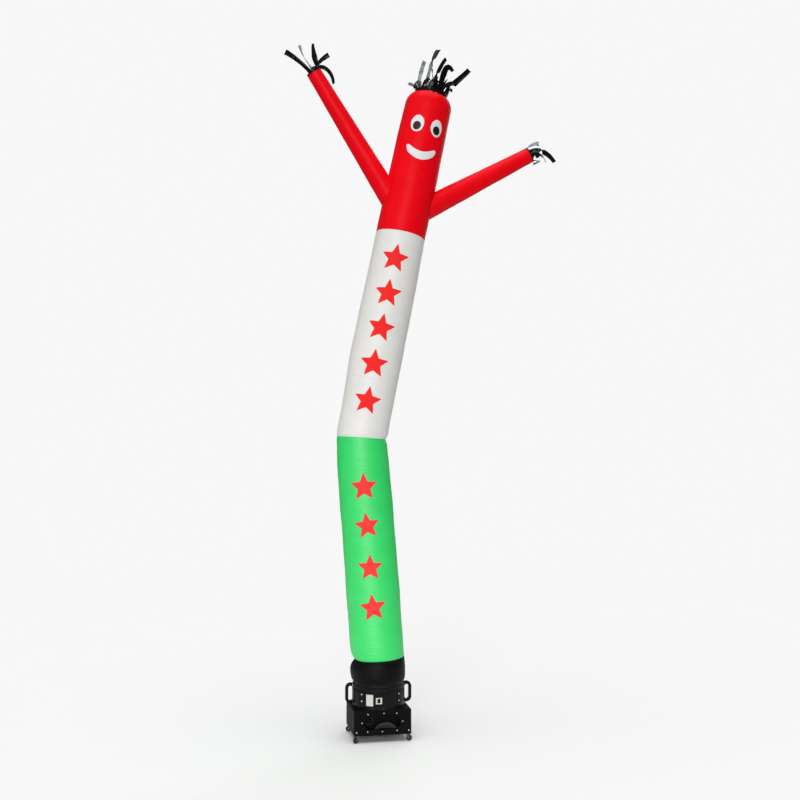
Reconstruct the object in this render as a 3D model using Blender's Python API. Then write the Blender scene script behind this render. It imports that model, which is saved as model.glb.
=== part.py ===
"""Inflatable air dancer: a leaning cloth tube man with two arms and ribbon hair, on its blower with casters.

Metres, +Z up, the blower's front towards -Y. The tube and both arms lean in the plane of X and Z.
"""

import math

import bmesh
import bpy
from mathutils import Matrix, Vector

# Where the blower stands, so that the middle of the whole object's box is at X 0 and Y 0.
BLOWER_X, BLOWER_Y = -0.3925, 0.0

# Cloth
CLOTH = 0.002
SEAM_GAP = 0.0005
TUBE_SIDES = 28
ARM_SIDES = 20

# Blower
CASTER_HEIGHT = 0.060
BASE_WIDTH, BASE_DEPTH, BASE_TOP = 0.49, 0.43, 0.270
DRUM_RADIUS, DRUM_WALL, DRUM_TOP = 0.2205, 0.008, 0.540
DRUM_FLARE, FLARE_HEIGHT = 0.006, 0.012
RIBS, RIB_PROUD, RIB_HALF = (0.418, 0.451), 0.0030, 0.006
TOUCH = 0.0003

# The tube's outline, bottom to top, in four tables with the columns: height, sideways lean of the middle,
# radius, and the tilt of the ring in degrees.
HEM_RADIUS = DRUM_RADIUS / math.cos(math.pi / TUBE_SIDES) + 0.0004 + CLOTH
SLEEVE = (
    (0.484, 0.000, HEM_RADIUS, 0.0),
    (0.498, -0.002, 0.2290, 0.0),
    (0.533, -0.004, 0.2340, -0.5),
    (0.590, -0.004, 0.2340, -1.5),
    (0.630, -0.002, 0.2280, -2.3),
    (0.668, 0.003, 0.2180, -3.2),
)
GREEN = (
    (0.668, 0.003, 0.2170, -3.2),
    (0.706, -0.006, 0.2240, -3.6),
    (0.780, -0.015, 0.2280, -4.2),
    (0.983, -0.031, 0.2285, -4.3),
    (1.240, -0.050, 0.2295, -4.3),
    (1.500, -0.069, 0.2275, -4.3),
    (1.755, -0.089, 0.2270, -4.6),
    (2.010, -0.110, 0.2280, -4.8),
    (2.270, -0.132, 0.2240, -4.4),
    (2.430, -0.142, 0.2215, -2.5),
    (2.510, -0.1450, 0.2185, 1.2),
    (2.548, -0.1440, 0.2170, 4.0),
)
WHITE = (
    (2.548, -0.1440, 0.2170, 4.0),
    (2.590, -0.1405, 0.2195, 6.6),
    (2.680, -0.1270, 0.2205, 9.6),
    (2.880, -0.0890, 0.2205, 10.4),
    (3.140, -0.0430, 0.2255, 10.6),
    (3.405, 0.0090, 0.2265, 11.2),
    (3.670, 0.0620, 0.2255, 11.5),
    (3.935, 0.1170, 0.2220, 11.3),
    (4.205, 0.1695, 0.2200, 10.9),
    (4.328, 0.1935, 0.2165, 10.6),
)
RED = (
    (4.328, 0.1935, 0.2165, 10.6),
    (4.370, 0.2020, 0.2175, 11.2),
    (4.520, 0.2350, 0.2175, 11.8),
    (4.800, 0.2950, 0.2170, 12.1),
    (5.080, 0.3535, 0.2140, 12.1),
    (5.320, 0.4050, 0.2115, 12.1),
    (5.450, 0.4350, 0.2090, 12.1),
)
# The head's dome, as distances below the vent's edge along the head's axis, and radii.
VENT = Vector((0.4666, 0.0, 5.5970))
VENT_RADIUS = 0.143
DOME = ((0.092, 0.2060), (0.056, 0.1970), (0.026, 0.1800), (0.010, 0.1620), (0.0, VENT_RADIUS))
HEAD_LEAN = math.radians(12.1)

# Pinches and bulges of the cloth, with the columns: height, angle round the tube from +X,
# depth (a bulge is negative), reach up and down, spread round.
PINCHES = (
    (0.668, 172, 0.013, 0.030, 34),
    (0.585, 178, -0.004, 0.050, 40),
    (2.548, -20, 0.016, 0.035, 42),
    (2.548, 205, -0.005, 0.060, 50),
    (2.430, 20, 0.004, 0.050, 60),
    (3.270, 190, -0.004, 0.220, 70),
    (1.240, 20, -0.003, 0.200, 60),
)

# Arms: where the axis crosses the body's side, where it ends, and the two radii there.
LEFT_ROOT, LEFT_END = Vector((0.0645, 0.0, 4.725)), Vector((-0.5737, 0.0, 5.7362))
LEFT_RADII = 0.095, 0.0655
RIGHT_ROOT, RIGHT_END = Vector((0.4783, 0.0, 4.6156)), Vector((1.3735, 0.0, 5.1161))
RIGHT_RADII = 0.098, 0.070
ARM_INSIDE = 0.16

# Ribbons of hair, with the columns: angle of the root round the vent from +X, tip (x, y, z) from the
# vent's middle, sideways bow (x, y, z) of the middle, width at root, middle and tip, and twist.
RIBBON = 0.0016
HAIR = (
    (205, (-0.070, -0.080, 0.292), (-0.020, -0.020, 0.000), 0.032, 0.030, 0.034, 150),
    (190, (-0.176, -0.075, 0.042), (-0.018, -0.010, 0.050), 0.030, 0.026, 0.028, 50),
    (175, (-0.075, 0.020, 0.135), (-0.060, 0.030, 0.035), 0.034, 0.028, 0.024, 120),
    (240, (0.076, 0.000, 0.438), (-0.032, -0.030, 0.030), 0.036, 0.024, 0.048, 60),
    (258, (0.137, -0.010, 0.368), (-0.028, -0.050, 0.010), 0.038, 0.030, 0.040, 100),
    (285, (0.192, -0.060, 0.232), (-0.010, -0.020, 0.150), 0.038, 0.050, 0.038, 40),
    (318, (0.360, -0.010, 0.272), (-0.012, -0.010, -0.046), 0.034, 0.034, 0.050, 140),
    (345, (0.187, -0.010, 0.072), (0.030, -0.010, 0.045), 0.034, 0.028, 0.026, 90),
    (10, (0.160, 0.050, 0.150), (0.035, 0.010, 0.010), 0.034, 0.030, 0.028, 160),
    (40, (0.230, 0.120, 0.186), (-0.050, 0.010, 0.050), 0.034, 0.032, 0.034, 70),
    (70, (0.060, 0.180, 0.326), (0.020, 0.030, 0.010), 0.034, 0.030, 0.038, 110),
    (100, (-0.020, 0.215, 0.166), (0.000, 0.020, 0.090), 0.034, 0.030, 0.032, 60),
    (128, (-0.060, 0.080, 0.266), (-0.030, 0.060, 0.000), 0.034, 0.028, 0.036, 130),
    (150, (-0.175, 0.105, 0.135), (-0.010, 0.000, 0.050), 0.034, 0.028, 0.032, 80),
)
# Ribbons at the two hands, with the same columns, from the middle of the arm's open end.
FINGERS_LEFT = (
    (210, (-0.259, -0.010, 0.167), (-0.010, -0.010, 0.020), 0.034, 0.036, 0.048, 30),
    (255, (-0.129, 0.030, 0.251), (-0.020, 0.020, -0.010), 0.024, 0.016, 0.030, 170),
    (300, (-0.018, -0.020, 0.257), (-0.014, -0.020, 0.000), 0.038, 0.052, 0.020, 25),
    (50, (0.131, 0.040, 0.191), (-0.010, 0.020, 0.010), 0.034, 0.034, 0.044, 60),
    (14, (0.170, 0.004, -0.082), (0.066, 0.004, 0.080), 0.034, 0.036, 0.030, 40),
    (117, (0.060, 0.170, 0.120), (0.000, 0.030, 0.030), 0.034, 0.030, 0.034, 90),
)
FINGERS_RIGHT = (
    (200, (0.105, -0.010, 0.114), (-0.024, -0.006, 0.012), 0.030, 0.038, 0.046, 70),
    (250, (0.243, -0.035, -0.053), (0.000, -0.030, 0.050), 0.034, 0.050, 0.034, 55),
    (290, (0.147, -0.070, -0.070), (0.010, -0.040, 0.020), 0.032, 0.030, 0.028, 100),
    (335, (0.020, -0.095, -0.100), (0.050, -0.040, -0.020), 0.030, 0.038, 0.034, 80),
    (60, (0.150, 0.120, 0.030), (0.010, 0.020, 0.030), 0.032, 0.030, 0.034, 90),
    (130, (0.140, 0.080, 0.080), (0.000, 0.050, 0.010), 0.032, 0.030, 0.034, 120),
)
STRIP_HEIGHT, STRIP_GAP, HAND_SIDES = 0.016, 0.0004, 12

# The face: middles of the patches from the head's axis, as a turn round it and a distance below the
# vent, and their half sizes.
EYE_TURNS, EYE_DROPS = (-25.5, 24.0), (0.334, 0.337)
EYE_HALF = 0.060, 0.077
PUPIL_HALF = 0.037, 0.041
PUPIL_DROP = 0.020
MOUTH_TURN, MOUTH_DROP = -3.0, 0.575
MOUTH_WIDTH, MOUTH_RISE, MOUTH_BAND = 0.130, 0.054, 0.037

# Handles, bolts and fittings of the drum
HANDLE_REACH, HANDLE_BOTTOM, HANDLE_TOP = 0.286, 0.283, 0.460
HANDLE_BAR, HANDLE_DEPTH, HANDLE_CORNER, HANDLE_EDGE = 0.026, 0.030, 0.045, 0.006
SLOT_WIDTH = 0.035
DRUM_TURN, FLANGE_SPAN, FLANGE_MIDDLE = -2.5, 50, 0.3625
BOLT_TURNS = {"front_left": -46, "front_right": 42, "back_right": 134, "back_left": 226}
BOLT_SPREAD = 0.0285
PLATE_TURN, PLATE_WIDTH, PLATE_HEIGHT, PLATE_MIDDLE = -1.5, 0.132, 0.106, 0.347
LABEL_TURN, LABEL_WIDTH, LABEL_HEIGHT = -29.5, 0.062, 0.094

# Casters
CASTER_X, CASTER_Y, CASTER_PLATE_HALF = 0.214, 0.184, 0.027
WHEEL_RADIUS, WHEEL_WIDTH, WHEEL_SIDES, TRAIL = 0.0245, 0.018, 24, 0.016
PIN_RADIUS = 0.0032
CASTER_TURNS = {"front_left": 35, "front_right": 150, "back_left": -25, "back_right": 205}

for old in list(bpy.data.objects):
    bpy.data.objects.remove(old, do_unlink=True)

place = bpy.data.objects.new("place", None)
place.location = (BLOWER_X, BLOWER_Y, 0.0)
bpy.context.scene.collection.objects.link(place)


def material(name, colour, roughness, metallic=0.0):
    mat = bpy.data.materials.new(name)
    mat.use_nodes = True
    shader = mat.node_tree.nodes["Principled BSDF"]
    shader.inputs["Base Color"].default_value = (*colour, 1.0)
    shader.inputs["Roughness"].default_value = roughness
    shader.inputs["Metallic"].default_value = metallic
    return mat


RED_CLOTH = material("red cloth", (0.83, 0.01, 0.02), 0.45)
WHITE_CLOTH = material("white cloth", (0.80, 0.79, 0.77), 0.55)
GREEN_CLOTH = material("green cloth", (0.05, 0.72, 0.18), 0.45)
BLACK_CLOTH = material("black cloth", (0.012, 0.012, 0.013), 0.6)
RIBBON_CLOTH = material("ribbon", (0.02, 0.022, 0.024), 0.3)
BLACK_PLASTIC = material("black plastic", (0.014, 0.014, 0.014), 0.4)
BLACK_STEEL = material("black steel", (0.02, 0.02, 0.02), 0.45, 0.6)
ZINC = material("bright zinc", (0.72, 0.72, 0.70), 0.25, 1.0)
PALE_PLATE = material("pale plate", (0.62, 0.64, 0.58), 0.5)
RUBBER = material("rubber", (0.015, 0.015, 0.016), 0.7)


def put(name, mesh, mat, parent=place, smooth=40.0):
    """A new object of this mesh, parented without moving it."""
    mesh.materials.clear()
    mesh.materials.append(mat)
    mesh.shade_smooth()
    mesh.set_sharp_from_angle(angle=math.radians(smooth))
    obj = bpy.data.objects.new(name, mesh)
    bpy.context.scene.collection.objects.link(obj)
    obj.parent = parent
    return obj


def mesh_of(bm):
    """A mesh of these faces, all turned outwards."""
    bmesh.ops.recalc_face_normals(bm, faces=bm.faces)
    if bm.calc_volume(signed=True) < 0.0:
        bmesh.ops.reverse_faces(bm, faces=bm.faces)
    mesh = bpy.data.meshes.new("shape")
    bm.to_mesh(mesh)
    bm.free()
    return mesh


def solved(mesh, *cuts, operation="DIFFERENCE", solver="EXACT"):
    """The mesh after a Boolean with each other mesh in turn."""
    body = bpy.data.objects.new("body", mesh)
    bpy.context.scene.collection.objects.link(body)
    helpers = [body]
    for cut in cuts:
        tool = bpy.data.objects.new("tool", cut)
        bpy.context.scene.collection.objects.link(tool)
        helpers.append(tool)
        change = body.modifiers.new("cut", "BOOLEAN")
        change.object = tool
        change.operation = operation
        change.solver = solver
    bpy.context.view_layer.update()
    view = bpy.context.evaluated_depsgraph_get()
    result = bpy.data.meshes.new_from_object(body.evaluated_get(view))
    for helper in helpers:
        bpy.data.objects.remove(helper)
    return result


def skin(bm, rings, closed=False):
    """Faces between following rings of points, and between the last and the first where closed."""
    loops = [[bm.verts.new(point) for point in ring] for ring in rings]
    pairs = list(zip(loops, loops[1:]))
    if closed:
        pairs.append((loops[-1], loops[0]))
    for low, high in pairs:
        count = len(low)
        for i in range(count):
            j = (i + 1) % count
            bm.faces.new((low[i], low[j], high[j], high[i]))
    return loops


def wall(outer, inner):
    """A hollow tube's wall, open at both ends."""
    bm = bmesh.new()
    skin(bm, outer + inner[::-1], closed=True)
    return mesh_of(bm)


def plug(rings):
    """A solid between rings of points, closed by its two end faces."""
    bm = bmesh.new()
    loops = skin(bm, rings)
    bm.faces.new(loops[0][::-1])
    bm.faces.new(loops[-1])
    return mesh_of(bm)


def circle(middle, side, front, radius, sides, phase=0.0):
    """Points round a middle in the plane of two directions."""
    points = []
    for i in range(sides):
        angle = 2 * math.pi * i / sides + phase
        points.append(middle + side * (radius * math.cos(angle)) + front * (radius * math.sin(angle)))
    return points


def box(x0, x1, y0, y1, z0, z1):
    bm = bmesh.new()
    skin(bm, [[Vector((x, y, z)) for x, y in ((x0, y0), (x1, y0), (x1, y1), (x0, y1))] for z in (z0, z1)])
    loops = list(bm.verts)
    bm.faces.new(loops[:4][::-1])
    bm.faces.new(loops[4:])
    return mesh_of(bm)


def bevelled(mesh, width, segments=2, angle=30.0):
    """The mesh with its sharp edges rounded."""
    obj = bpy.data.objects.new("body", mesh)
    bpy.context.scene.collection.objects.link(obj)
    change = obj.modifiers.new("bevel", "BEVEL")
    change.width = width
    change.segments = segments
    change.limit_method = "ANGLE"
    change.angle_limit = math.radians(angle)
    change.harden_normals = False
    bpy.context.view_layer.update()
    result = bpy.data.meshes.new_from_object(obj.evaluated_get(bpy.context.evaluated_depsgraph_get()))
    bpy.data.objects.remove(obj)
    return result


# Tube
BACK = Vector((0, 1, 0))


def pinch_at(height, angle):
    """How far the cloth is drawn in at this height and angle, from the table of pinches."""
    total = 0.0
    for middle, turn, depth, reach, spread in PINCHES:
        off = (angle - turn + 180.0) % 360.0 - 180.0
        total += depth * math.exp(-((height - middle) / reach) ** 2 - (off / spread) ** 2)
    return total


def tube_rings(rows, grow=0.0, low_gap=0.0, high_gap=0.0):
    """Rings round the leaning axis of these rows, drawn in by the pinches."""
    rings = []
    last = len(rows) - 1
    for k, (height, lean, radius, tilt) in enumerate(rows):
        turn = math.radians(tilt)
        axis = Vector((math.sin(turn), 0.0, math.cos(turn)))
        side = Vector((axis.z, 0.0, -axis.x))
        middle = Vector((lean, 0.0, height))
        if k == 0:
            middle += axis * low_gap
        if k == last:
            middle -= axis * high_gap
        ring = []
        for i in range(TUBE_SIDES):
            angle = 360.0 * i / TUBE_SIDES
            reach = radius + grow - pinch_at(height, angle)
            spot = math.radians(angle)
            ring.append(middle + side * (reach * math.cos(spot)) + BACK * (reach * math.sin(spot)))
        rings.append(ring)
    return rings


def section(name, rows, mat, low_gap, high_gap):
    outer = tube_rings(rows, 0.0, low_gap, high_gap)
    inner = tube_rings(rows, -CLOTH, low_gap, high_gap)
    return put(name, wall(outer, inner), mat)


section("sleeve", SLEEVE, BLACK_CLOTH, 0.0, SEAM_GAP / 2)
section("section_green", GREEN, GREEN_CLOTH, SEAM_GAP / 2, SEAM_GAP / 2)
section("section_white", WHITE, WHITE_CLOTH, SEAM_GAP / 2, SEAM_GAP / 2)

HEAD_AXIS = Vector((math.sin(HEAD_LEAN), 0.0, math.cos(HEAD_LEAN)))
HEAD_SIDE = Vector((HEAD_AXIS.z, 0.0, -HEAD_AXIS.x))


def dome_rings(change, lift):
    """The dome's rings with their radii changed, and lifted along the head's axis."""
    rings = []
    for drop, radius in DOME:
        middle = VENT + HEAD_AXIS * (lift - drop)
        rings.append(circle(middle, HEAD_SIDE, BACK, radius + change, TUBE_SIDES))
    return rings


def head_skin(grow):
    """The outside of the red length, dome and all, grown outwards."""
    return tube_rings(RED, grow) + dome_rings(grow * 0.9, grow * 0.4)


def arm_cone(root, end, radii, change, steps=1):
    """Rings of a tapered arm from inside the body to its open end."""
    axis = (end - root).normalized()
    length = (end - root).length
    side = Vector((axis.z, 0.0, -axis.x))
    rings = []
    for k in range(steps + 1):
        along = -ARM_INSIDE + (length + ARM_INSIDE) * k / steps
        radius = radii[0] + (radii[1] - radii[0]) * along / length
        rings.append(circle(root + axis * along, side, BACK, radius + change, ARM_SIDES, math.pi / ARM_SIDES))
    return rings


ARMS = {
    "arm_left": (LEFT_ROOT, LEFT_END, LEFT_RADII),
    "arm_right": (RIGHT_ROOT, RIGHT_END, RIGHT_RADII),
}
outer = tube_rings(RED, 0.0, SEAM_GAP / 2) + dome_rings(0.0, 0.0)
inner = tube_rings(RED, -CLOTH, SEAM_GAP / 2) + dome_rings(-CLOTH * 0.6, -CLOTH)
holes = [plug(arm_cone(*arm, -CLOTH)) for arm in ARMS.values()]
put("body_red", solved(wall(outer, inner), *holes), RED_CLOTH)

ARM_CLEAR = 0.0006
for name, arm in ARMS.items():
    tube = wall(arm_cone(*arm, 0.0, 8), arm_cone(*arm, -CLOTH, 8))
    inside = plug(tube_rings(RED, ARM_CLEAR))
    put(name, solved(tube, inside), RED_CLOTH)


# Face
PATCH = 0.0012
LAYER = 0.0003


def face_spot(turn, drop):
    """Where the head's axis, turned outwards by an angle from the front, meets a patch's middle."""
    angle = math.radians(turn - 90.0)
    out = HEAD_SIDE * math.cos(angle) + BACK * math.sin(angle)
    across = HEAD_SIDE * -math.sin(angle) + BACK * math.cos(angle)
    return VENT - HEAD_AXIS * drop, out, across


def patch(name, mat, turn, drop, outline, low, high):
    """A patch of the head's own skin, cut to an outline that is pushed straight in."""
    middle, out, across = face_spot(turn, drop)
    shapes = []
    for reach in (0.02, 0.40):
        shapes.append([middle + out * reach + across * x + HEAD_AXIS * y for x, y in outline])
    inside = solved(plug(shapes), plug(head_skin(high)), operation="INTERSECT")
    return put(name, solved(inside, plug(head_skin(low))), mat)


def ellipse(half_width, half_height, sides=20):
    turns = [2 * math.pi * i / sides for i in range(sides)]
    return [(half_width * math.cos(t), half_height * math.sin(t)) for t in turns]


def smile(steps=9):
    """A crescent: both edges sag, the lower one further, and the ends are blunt."""
    upper, lower = [], []
    for i in range(steps + 1):
        u = -1.0 + 2.0 * i / steps
        sag = MOUTH_RISE * (1.0 - u * u)
        band = MOUTH_BAND * (0.62 + 0.38 * math.sqrt(max(0.0, 1.0 - u * u)))
        upper.append((MOUTH_WIDTH * u, MOUTH_RISE - sag))
        lower.append((MOUTH_WIDTH * u * 0.97, MOUTH_RISE - sag - 2 * band))
    return lower + upper[::-1]


for side, turn, drop in zip(("left", "right"), EYE_TURNS, EYE_DROPS):
    patch(f"eye_{side}", WHITE_CLOTH, turn, drop, ellipse(*EYE_HALF), LAYER, LAYER + PATCH)
    patch(f"pupil_{side}", BLACK_CLOTH, turn, drop + PUPIL_DROP, ellipse(*PUPIL_HALF, 16),
          2 * LAYER + PATCH, 2 * LAYER + 2 * PATCH)
patch("mouth", WHITE_CLOTH, MOUTH_TURN, MOUTH_DROP, smile(), LAYER, LAYER + PATCH)


# Ribbons
ROOT_LIFT = 0.05
TWIST_LATE = 1.3


def strand(bm, root, rise, across, tip, bow, widths, twist, steps=9):
    """A twisted flat strand grown along a smooth curve from the four corners of its root."""
    start = sum((corner.co for corner in root), Vector()) / len(root)
    lift = start + rise * ROOT_LIFT
    middle = (lift + tip) / 2 + bow
    last, flat = root, across
    for k in range(1, steps + 1):
        t, before = k / steps, (k - 1) / steps
        point = (
            start * (1 - t) ** 3
            + lift * (3 * t * (1 - t) ** 2)
            + middle * (3 * t * t * (1 - t))
            + tip * t ** 3
        )
        ahead = (
            (lift - start) * (3 * (1 - t) ** 2) + (middle - lift) * (6 * t * (1 - t)) + (tip - middle) * (3 * t * t)
        ).normalized()
        flat = (flat - ahead * flat.dot(ahead)).normalized()
        flat = Matrix.Rotation(math.radians(twist) * (t ** TWIST_LATE - before ** TWIST_LATE), 3, ahead) @ flat
        thick = flat.cross(ahead).normalized()
        if t < 0.5:
            width = widths[0] + (widths[1] - widths[0]) * 2 * t
        else:
            width = widths[1] + (widths[2] - widths[1]) * (2 * t - 1)
        w, h = flat * (width / 2), thick * (RIBBON / 2)
        ring = [bm.verts.new(p) for p in (point - w + h, point + w + h, point + w - h, point - w - h)]
        # Both broad faces are split on the same diagonal, so a twisted strand keeps its thickness.
        bm.faces.new((last[0], last[1], ring[1]))
        bm.faces.new((last[0], ring[1], ring[0]))
        bm.faces.new((last[2], last[3], ring[2]))
        bm.faces.new((last[3], ring[3], ring[2]))
        bm.faces.new((last[1], last[2], ring[2], ring[1]))
        bm.faces.new((last[3], last[0], ring[0], ring[3]))
        last = ring
    bm.faces.new(last)


def fringe(name, middle, axis, radius, sides, table):
    """A ribbon fringe: a narrow strip round an opening, with strands grown from single sides of its top."""
    side = Vector((axis.z, 0.0, -axis.x))
    bm = bmesh.new()
    loops = []
    for height, round_by in ((0.0, radius), (STRIP_HEIGHT, radius), (STRIP_HEIGHT, radius - CLOTH), (0.0, radius - CLOTH)):
        ring = circle(middle + axis * height, side, BACK, round_by, sides)
        loops.append([bm.verts.new(point) for point in ring])
    rows = {int(row[0] % 360 * sides / 360): row for row in table}
    for i in range(sides):
        j = (i + 1) % sides
        for k in (0, 2, 3):
            low, high = loops[k], loops[(k + 1) % 4]
            bm.faces.new((low[i], low[j], high[j], high[i]))
        root = (loops[1][i], loops[1][j], loops[2][j], loops[2][i])
        if i not in rows:
            bm.faces.new(root)
            continue
        tip, bow, root_width, mid_width, tip_width, twist = rows[i][1:]
        across = (root[1].co - root[0].co).normalized()
        strand(bm, root, axis, across, middle + Vector(tip), Vector(bow), (root_width, mid_width, tip_width), twist)
    return put(name, mesh_of(bm), RIBBON_CLOTH, smooth=60)


fringe("hair", VENT + HEAD_AXIS * STRIP_GAP, HEAD_AXIS, VENT_RADIUS, TUBE_SIDES, HAIR)
for name, arm, table in (
    ("fingers_left", ARMS["arm_left"], FINGERS_LEFT),
    ("fingers_right", ARMS["arm_right"], FINGERS_RIGHT),
):
    root, end, radii = arm
    arm_axis = (end - root).normalized()
    fringe(name, end + arm_axis * STRIP_GAP, arm_axis, radii[1], HAND_SIDES, table)


# Blower
def turned(profile, sides):
    """A solid of revolution from a closed profile of radii and heights."""
    bm = bmesh.new()
    rings = [circle(Vector((0, 0, z)), Vector((1, 0, 0)), BACK, r, sides) for r, z in profile]
    skin(bm, rings, closed=True)
    return mesh_of(bm)


def stadium(half_length, half_height, x, z, steps=10):
    """The outline of an oval with straight sides, round a middle."""
    straight = half_length - half_height
    points = []
    for centre, start in ((straight, -90.0), (-straight, 90.0)):
        for i in range(steps + 1):
            turn = math.radians(start + 180.0 * i / steps)
            points.append((x + centre + half_height * math.cos(turn), z + half_height * math.sin(turn)))
    return points


BASE_BOTTOM = CASTER_HEIGHT
FRONT = -BASE_DEPTH / 2
OVAL_X, OVAL_Z = -0.005, 0.1675
OVAL_LENGTH, OVAL_HEIGHT, OVAL_DEPTH = 0.156, 0.060, 0.055


def front_plug(outline, near, far):
    return plug([[Vector((x, y, z)) for x, z in outline] for y in (near, far)])


BASE_BEVEL, SEAT_DEPTH, SEAT_MARGIN = 0.010, 0.002, 0.004
housing = bevelled(
    box(-BASE_WIDTH / 2, BASE_WIDTH / 2, FRONT, -FRONT, BASE_BOTTOM - SEAT_DEPTH, BASE_TOP), BASE_BEVEL
)
cuts = [front_plug(stadium(OVAL_LENGTH, OVAL_HEIGHT, OVAL_X, OVAL_Z), FRONT - 0.02, FRONT + OVAL_DEPTH)]
seat_x, seat_y = CASTER_X - CASTER_PLATE_HALF - SEAT_MARGIN, CASTER_Y - CASTER_PLATE_HALF - SEAT_MARGIN
for x0, x1 in ((-BASE_WIDTH, -seat_x), (seat_x, BASE_WIDTH)):
    for y0, y1 in ((-BASE_DEPTH, -seat_y), (seat_y, BASE_DEPTH)):
        cuts.append(box(x0, x1, y0, y1, 0.0, BASE_BOTTOM))
put("base", solved(housing, *cuts), BLACK_PLASTIC)

# The drum has two raised ribs, a flared foot, and an open top inside the sleeve.
profile = [(DRUM_RADIUS + DRUM_FLARE, BASE_TOP + TOUCH), (DRUM_RADIUS + DRUM_FLARE, BASE_TOP + TOUCH + 0.004)]
profile.append((DRUM_RADIUS, BASE_TOP + FLARE_HEIGHT))
for height in RIBS:
    profile += [
        (DRUM_RADIUS, height - RIB_HALF),
        (DRUM_RADIUS + RIB_PROUD, height - RIB_HALF / 3),
        (DRUM_RADIUS + RIB_PROUD, height + RIB_HALF / 3),
        (DRUM_RADIUS, height + RIB_HALF),
    ]
profile += [
    (DRUM_RADIUS, DRUM_TOP),
    (DRUM_RADIUS - DRUM_WALL, DRUM_TOP),
    (DRUM_RADIUS - DRUM_WALL, BASE_TOP + TOUCH),
]
DRUM_SIDES = 48
put("drum", turned(profile, DRUM_SIDES), BLACK_PLASTIC)


# Handles: a bent bar with an oval slot, and a flange curved round the drum.
def arc_block(turn, span, low, high, near, far, steps=9):
    """A curved block round the drum, between two radii, about an angle from the front."""
    bm = bmesh.new()
    rings = []
    for i in range(steps + 1):
        angle = math.radians(turn - 90.0 + span * (i / steps - 0.5))
        out = Vector((math.cos(angle), math.sin(angle), 0.0))
        rings.append([out * near + Vector((0, 0, low)), out * far + Vector((0, 0, low)),
                      out * far + Vector((0, 0, high)), out * near + Vector((0, 0, high))])
    loops = skin(bm, rings)
    bm.faces.new(loops[0][::-1])
    bm.faces.new(loops[-1])
    return mesh_of(bm)


FLANGE, FLANGE_HALF = 0.004, 0.042
FLANGE_GAP = 0.0006
FLANGE_NEAR = DRUM_RADIUS + FLANGE_GAP


def handle(name, sign):
    outline = []
    corner, steps = HANDLE_CORNER, 5
    for start, z in ((-90.0, HANDLE_BOTTOM + corner), (0.0, HANDLE_TOP - corner)):
        for i in range(steps + 1):
            turn = math.radians(start + 90.0 * i / steps)
            outline.append((HANDLE_REACH - corner + corner * math.cos(turn), z + corner * math.sin(turn)))
    root = DRUM_RADIUS + RIB_PROUD + 2 * FLANGE_GAP
    outline += [(root, HANDLE_TOP), (root, HANDLE_BOTTOM)]
    slot_out = HANDLE_REACH - HANDLE_BAR
    slot_half = SLOT_WIDTH / 2
    hole = []
    for start, z in ((180.0, HANDLE_BOTTOM + HANDLE_BAR + slot_half), (0.0, HANDLE_TOP - HANDLE_BAR - slot_half)):
        for i in range(9):
            turn = math.radians(start + 180.0 * i / 8)
            hole.append((slot_out - slot_half + slot_half * math.cos(turn), z + slot_half * math.sin(turn)))
    half = HANDLE_DEPTH / 2
    bar = plug([[Vector((sign * x, y, z)) for x, z in outline] for y in (-half, half)])
    cut = plug([[Vector((sign * x, y, z)) for x, z in hole] for y in (-0.1, 0.1)])
    flange = arc_block(90.0 * sign, 2 * FLANGE_SPAN, FLANGE_MIDDLE - FLANGE_HALF, FLANGE_MIDDLE + FLANGE_HALF,
                       FLANGE_NEAR, FLANGE_NEAR + FLANGE, 14)
    bar = solved(bevelled(bar, HANDLE_EDGE, 2, 60.0), cut)
    grip = put(name, solved(bar, flange, operation="UNION"), BLACK_PLASTIC)
    grip.rotation_euler.z = math.radians(DRUM_TURN)


handle("handle_left", -1)
handle("handle_right", 1)


def round_head(name, middle, out, radius, height, mat=ZINC, sides=12):
    """A low domed screw or bolt head on a face."""
    side = out.orthogonal().normalized()
    front = out.cross(side)
    rings = [circle(middle + out * (height * h), side, front, radius * r, sides)
             for h, r in ((0.0, 1.0), (0.5, 0.92), (1.0, 0.45))]
    return put(name, plug(rings), mat)


for corner, turn in BOLT_TURNS.items():
    spot = math.radians(turn + DRUM_TURN - 90.0)
    out = Vector((math.cos(spot), math.sin(spot), 0.0))
    for level, rise in (("low", -BOLT_SPREAD), ("high", BOLT_SPREAD)):
        middle = out * (FLANGE_NEAR + FLANGE + TOUCH) + Vector((0, 0, FLANGE_MIDDLE + rise))
        round_head(f"bolt_{corner}_{level}", middle, out, 0.0078, 0.005)

# Oval rim of the intake guard, screwed over the recess in the base's front
GUARD_RIM, GUARD_THICK = 0.024, 0.0025
rim_outer = stadium(OVAL_LENGTH + GUARD_RIM, OVAL_HEIGHT + GUARD_RIM, OVAL_X, OVAL_Z)
guard_back = FRONT - TOUCH
guard = front_plug(rim_outer, guard_back - GUARD_THICK, guard_back)
mouth = front_plug(stadium(OVAL_LENGTH, OVAL_HEIGHT, OVAL_X, OVAL_Z), FRONT - 0.02, FRONT + 0.02)
put("intake_guard", solved(guard, mouth), BLACK_STEEL)

SCREW_RING = (
    (-0.127, 0.238), (0.009, 0.2410), (0.118, 0.2385), (0.168, 0.170),
    (0.121, 0.0955), (-0.004, 0.0930), (-0.130, 0.0950), (-0.177, 0.169),
)
for number, (x, z) in enumerate(SCREW_RING, 1):
    middle = Vector((x, guard_back - GUARD_THICK - TOUCH, z))
    round_head(f"guard_screw_{number}", middle, Vector((0, -1, 0)), 0.0060, 0.0035, sides=10)
for sign, side_name in ((-1, "left"), (1, "right")):
    middle = Vector((sign * 0.222, FRONT - TOUCH, 0.092))
    round_head(f"corner_bolt_{side_name}", middle, Vector((0, -1, 0)), 0.0070, 0.0045, sides=10)


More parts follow.
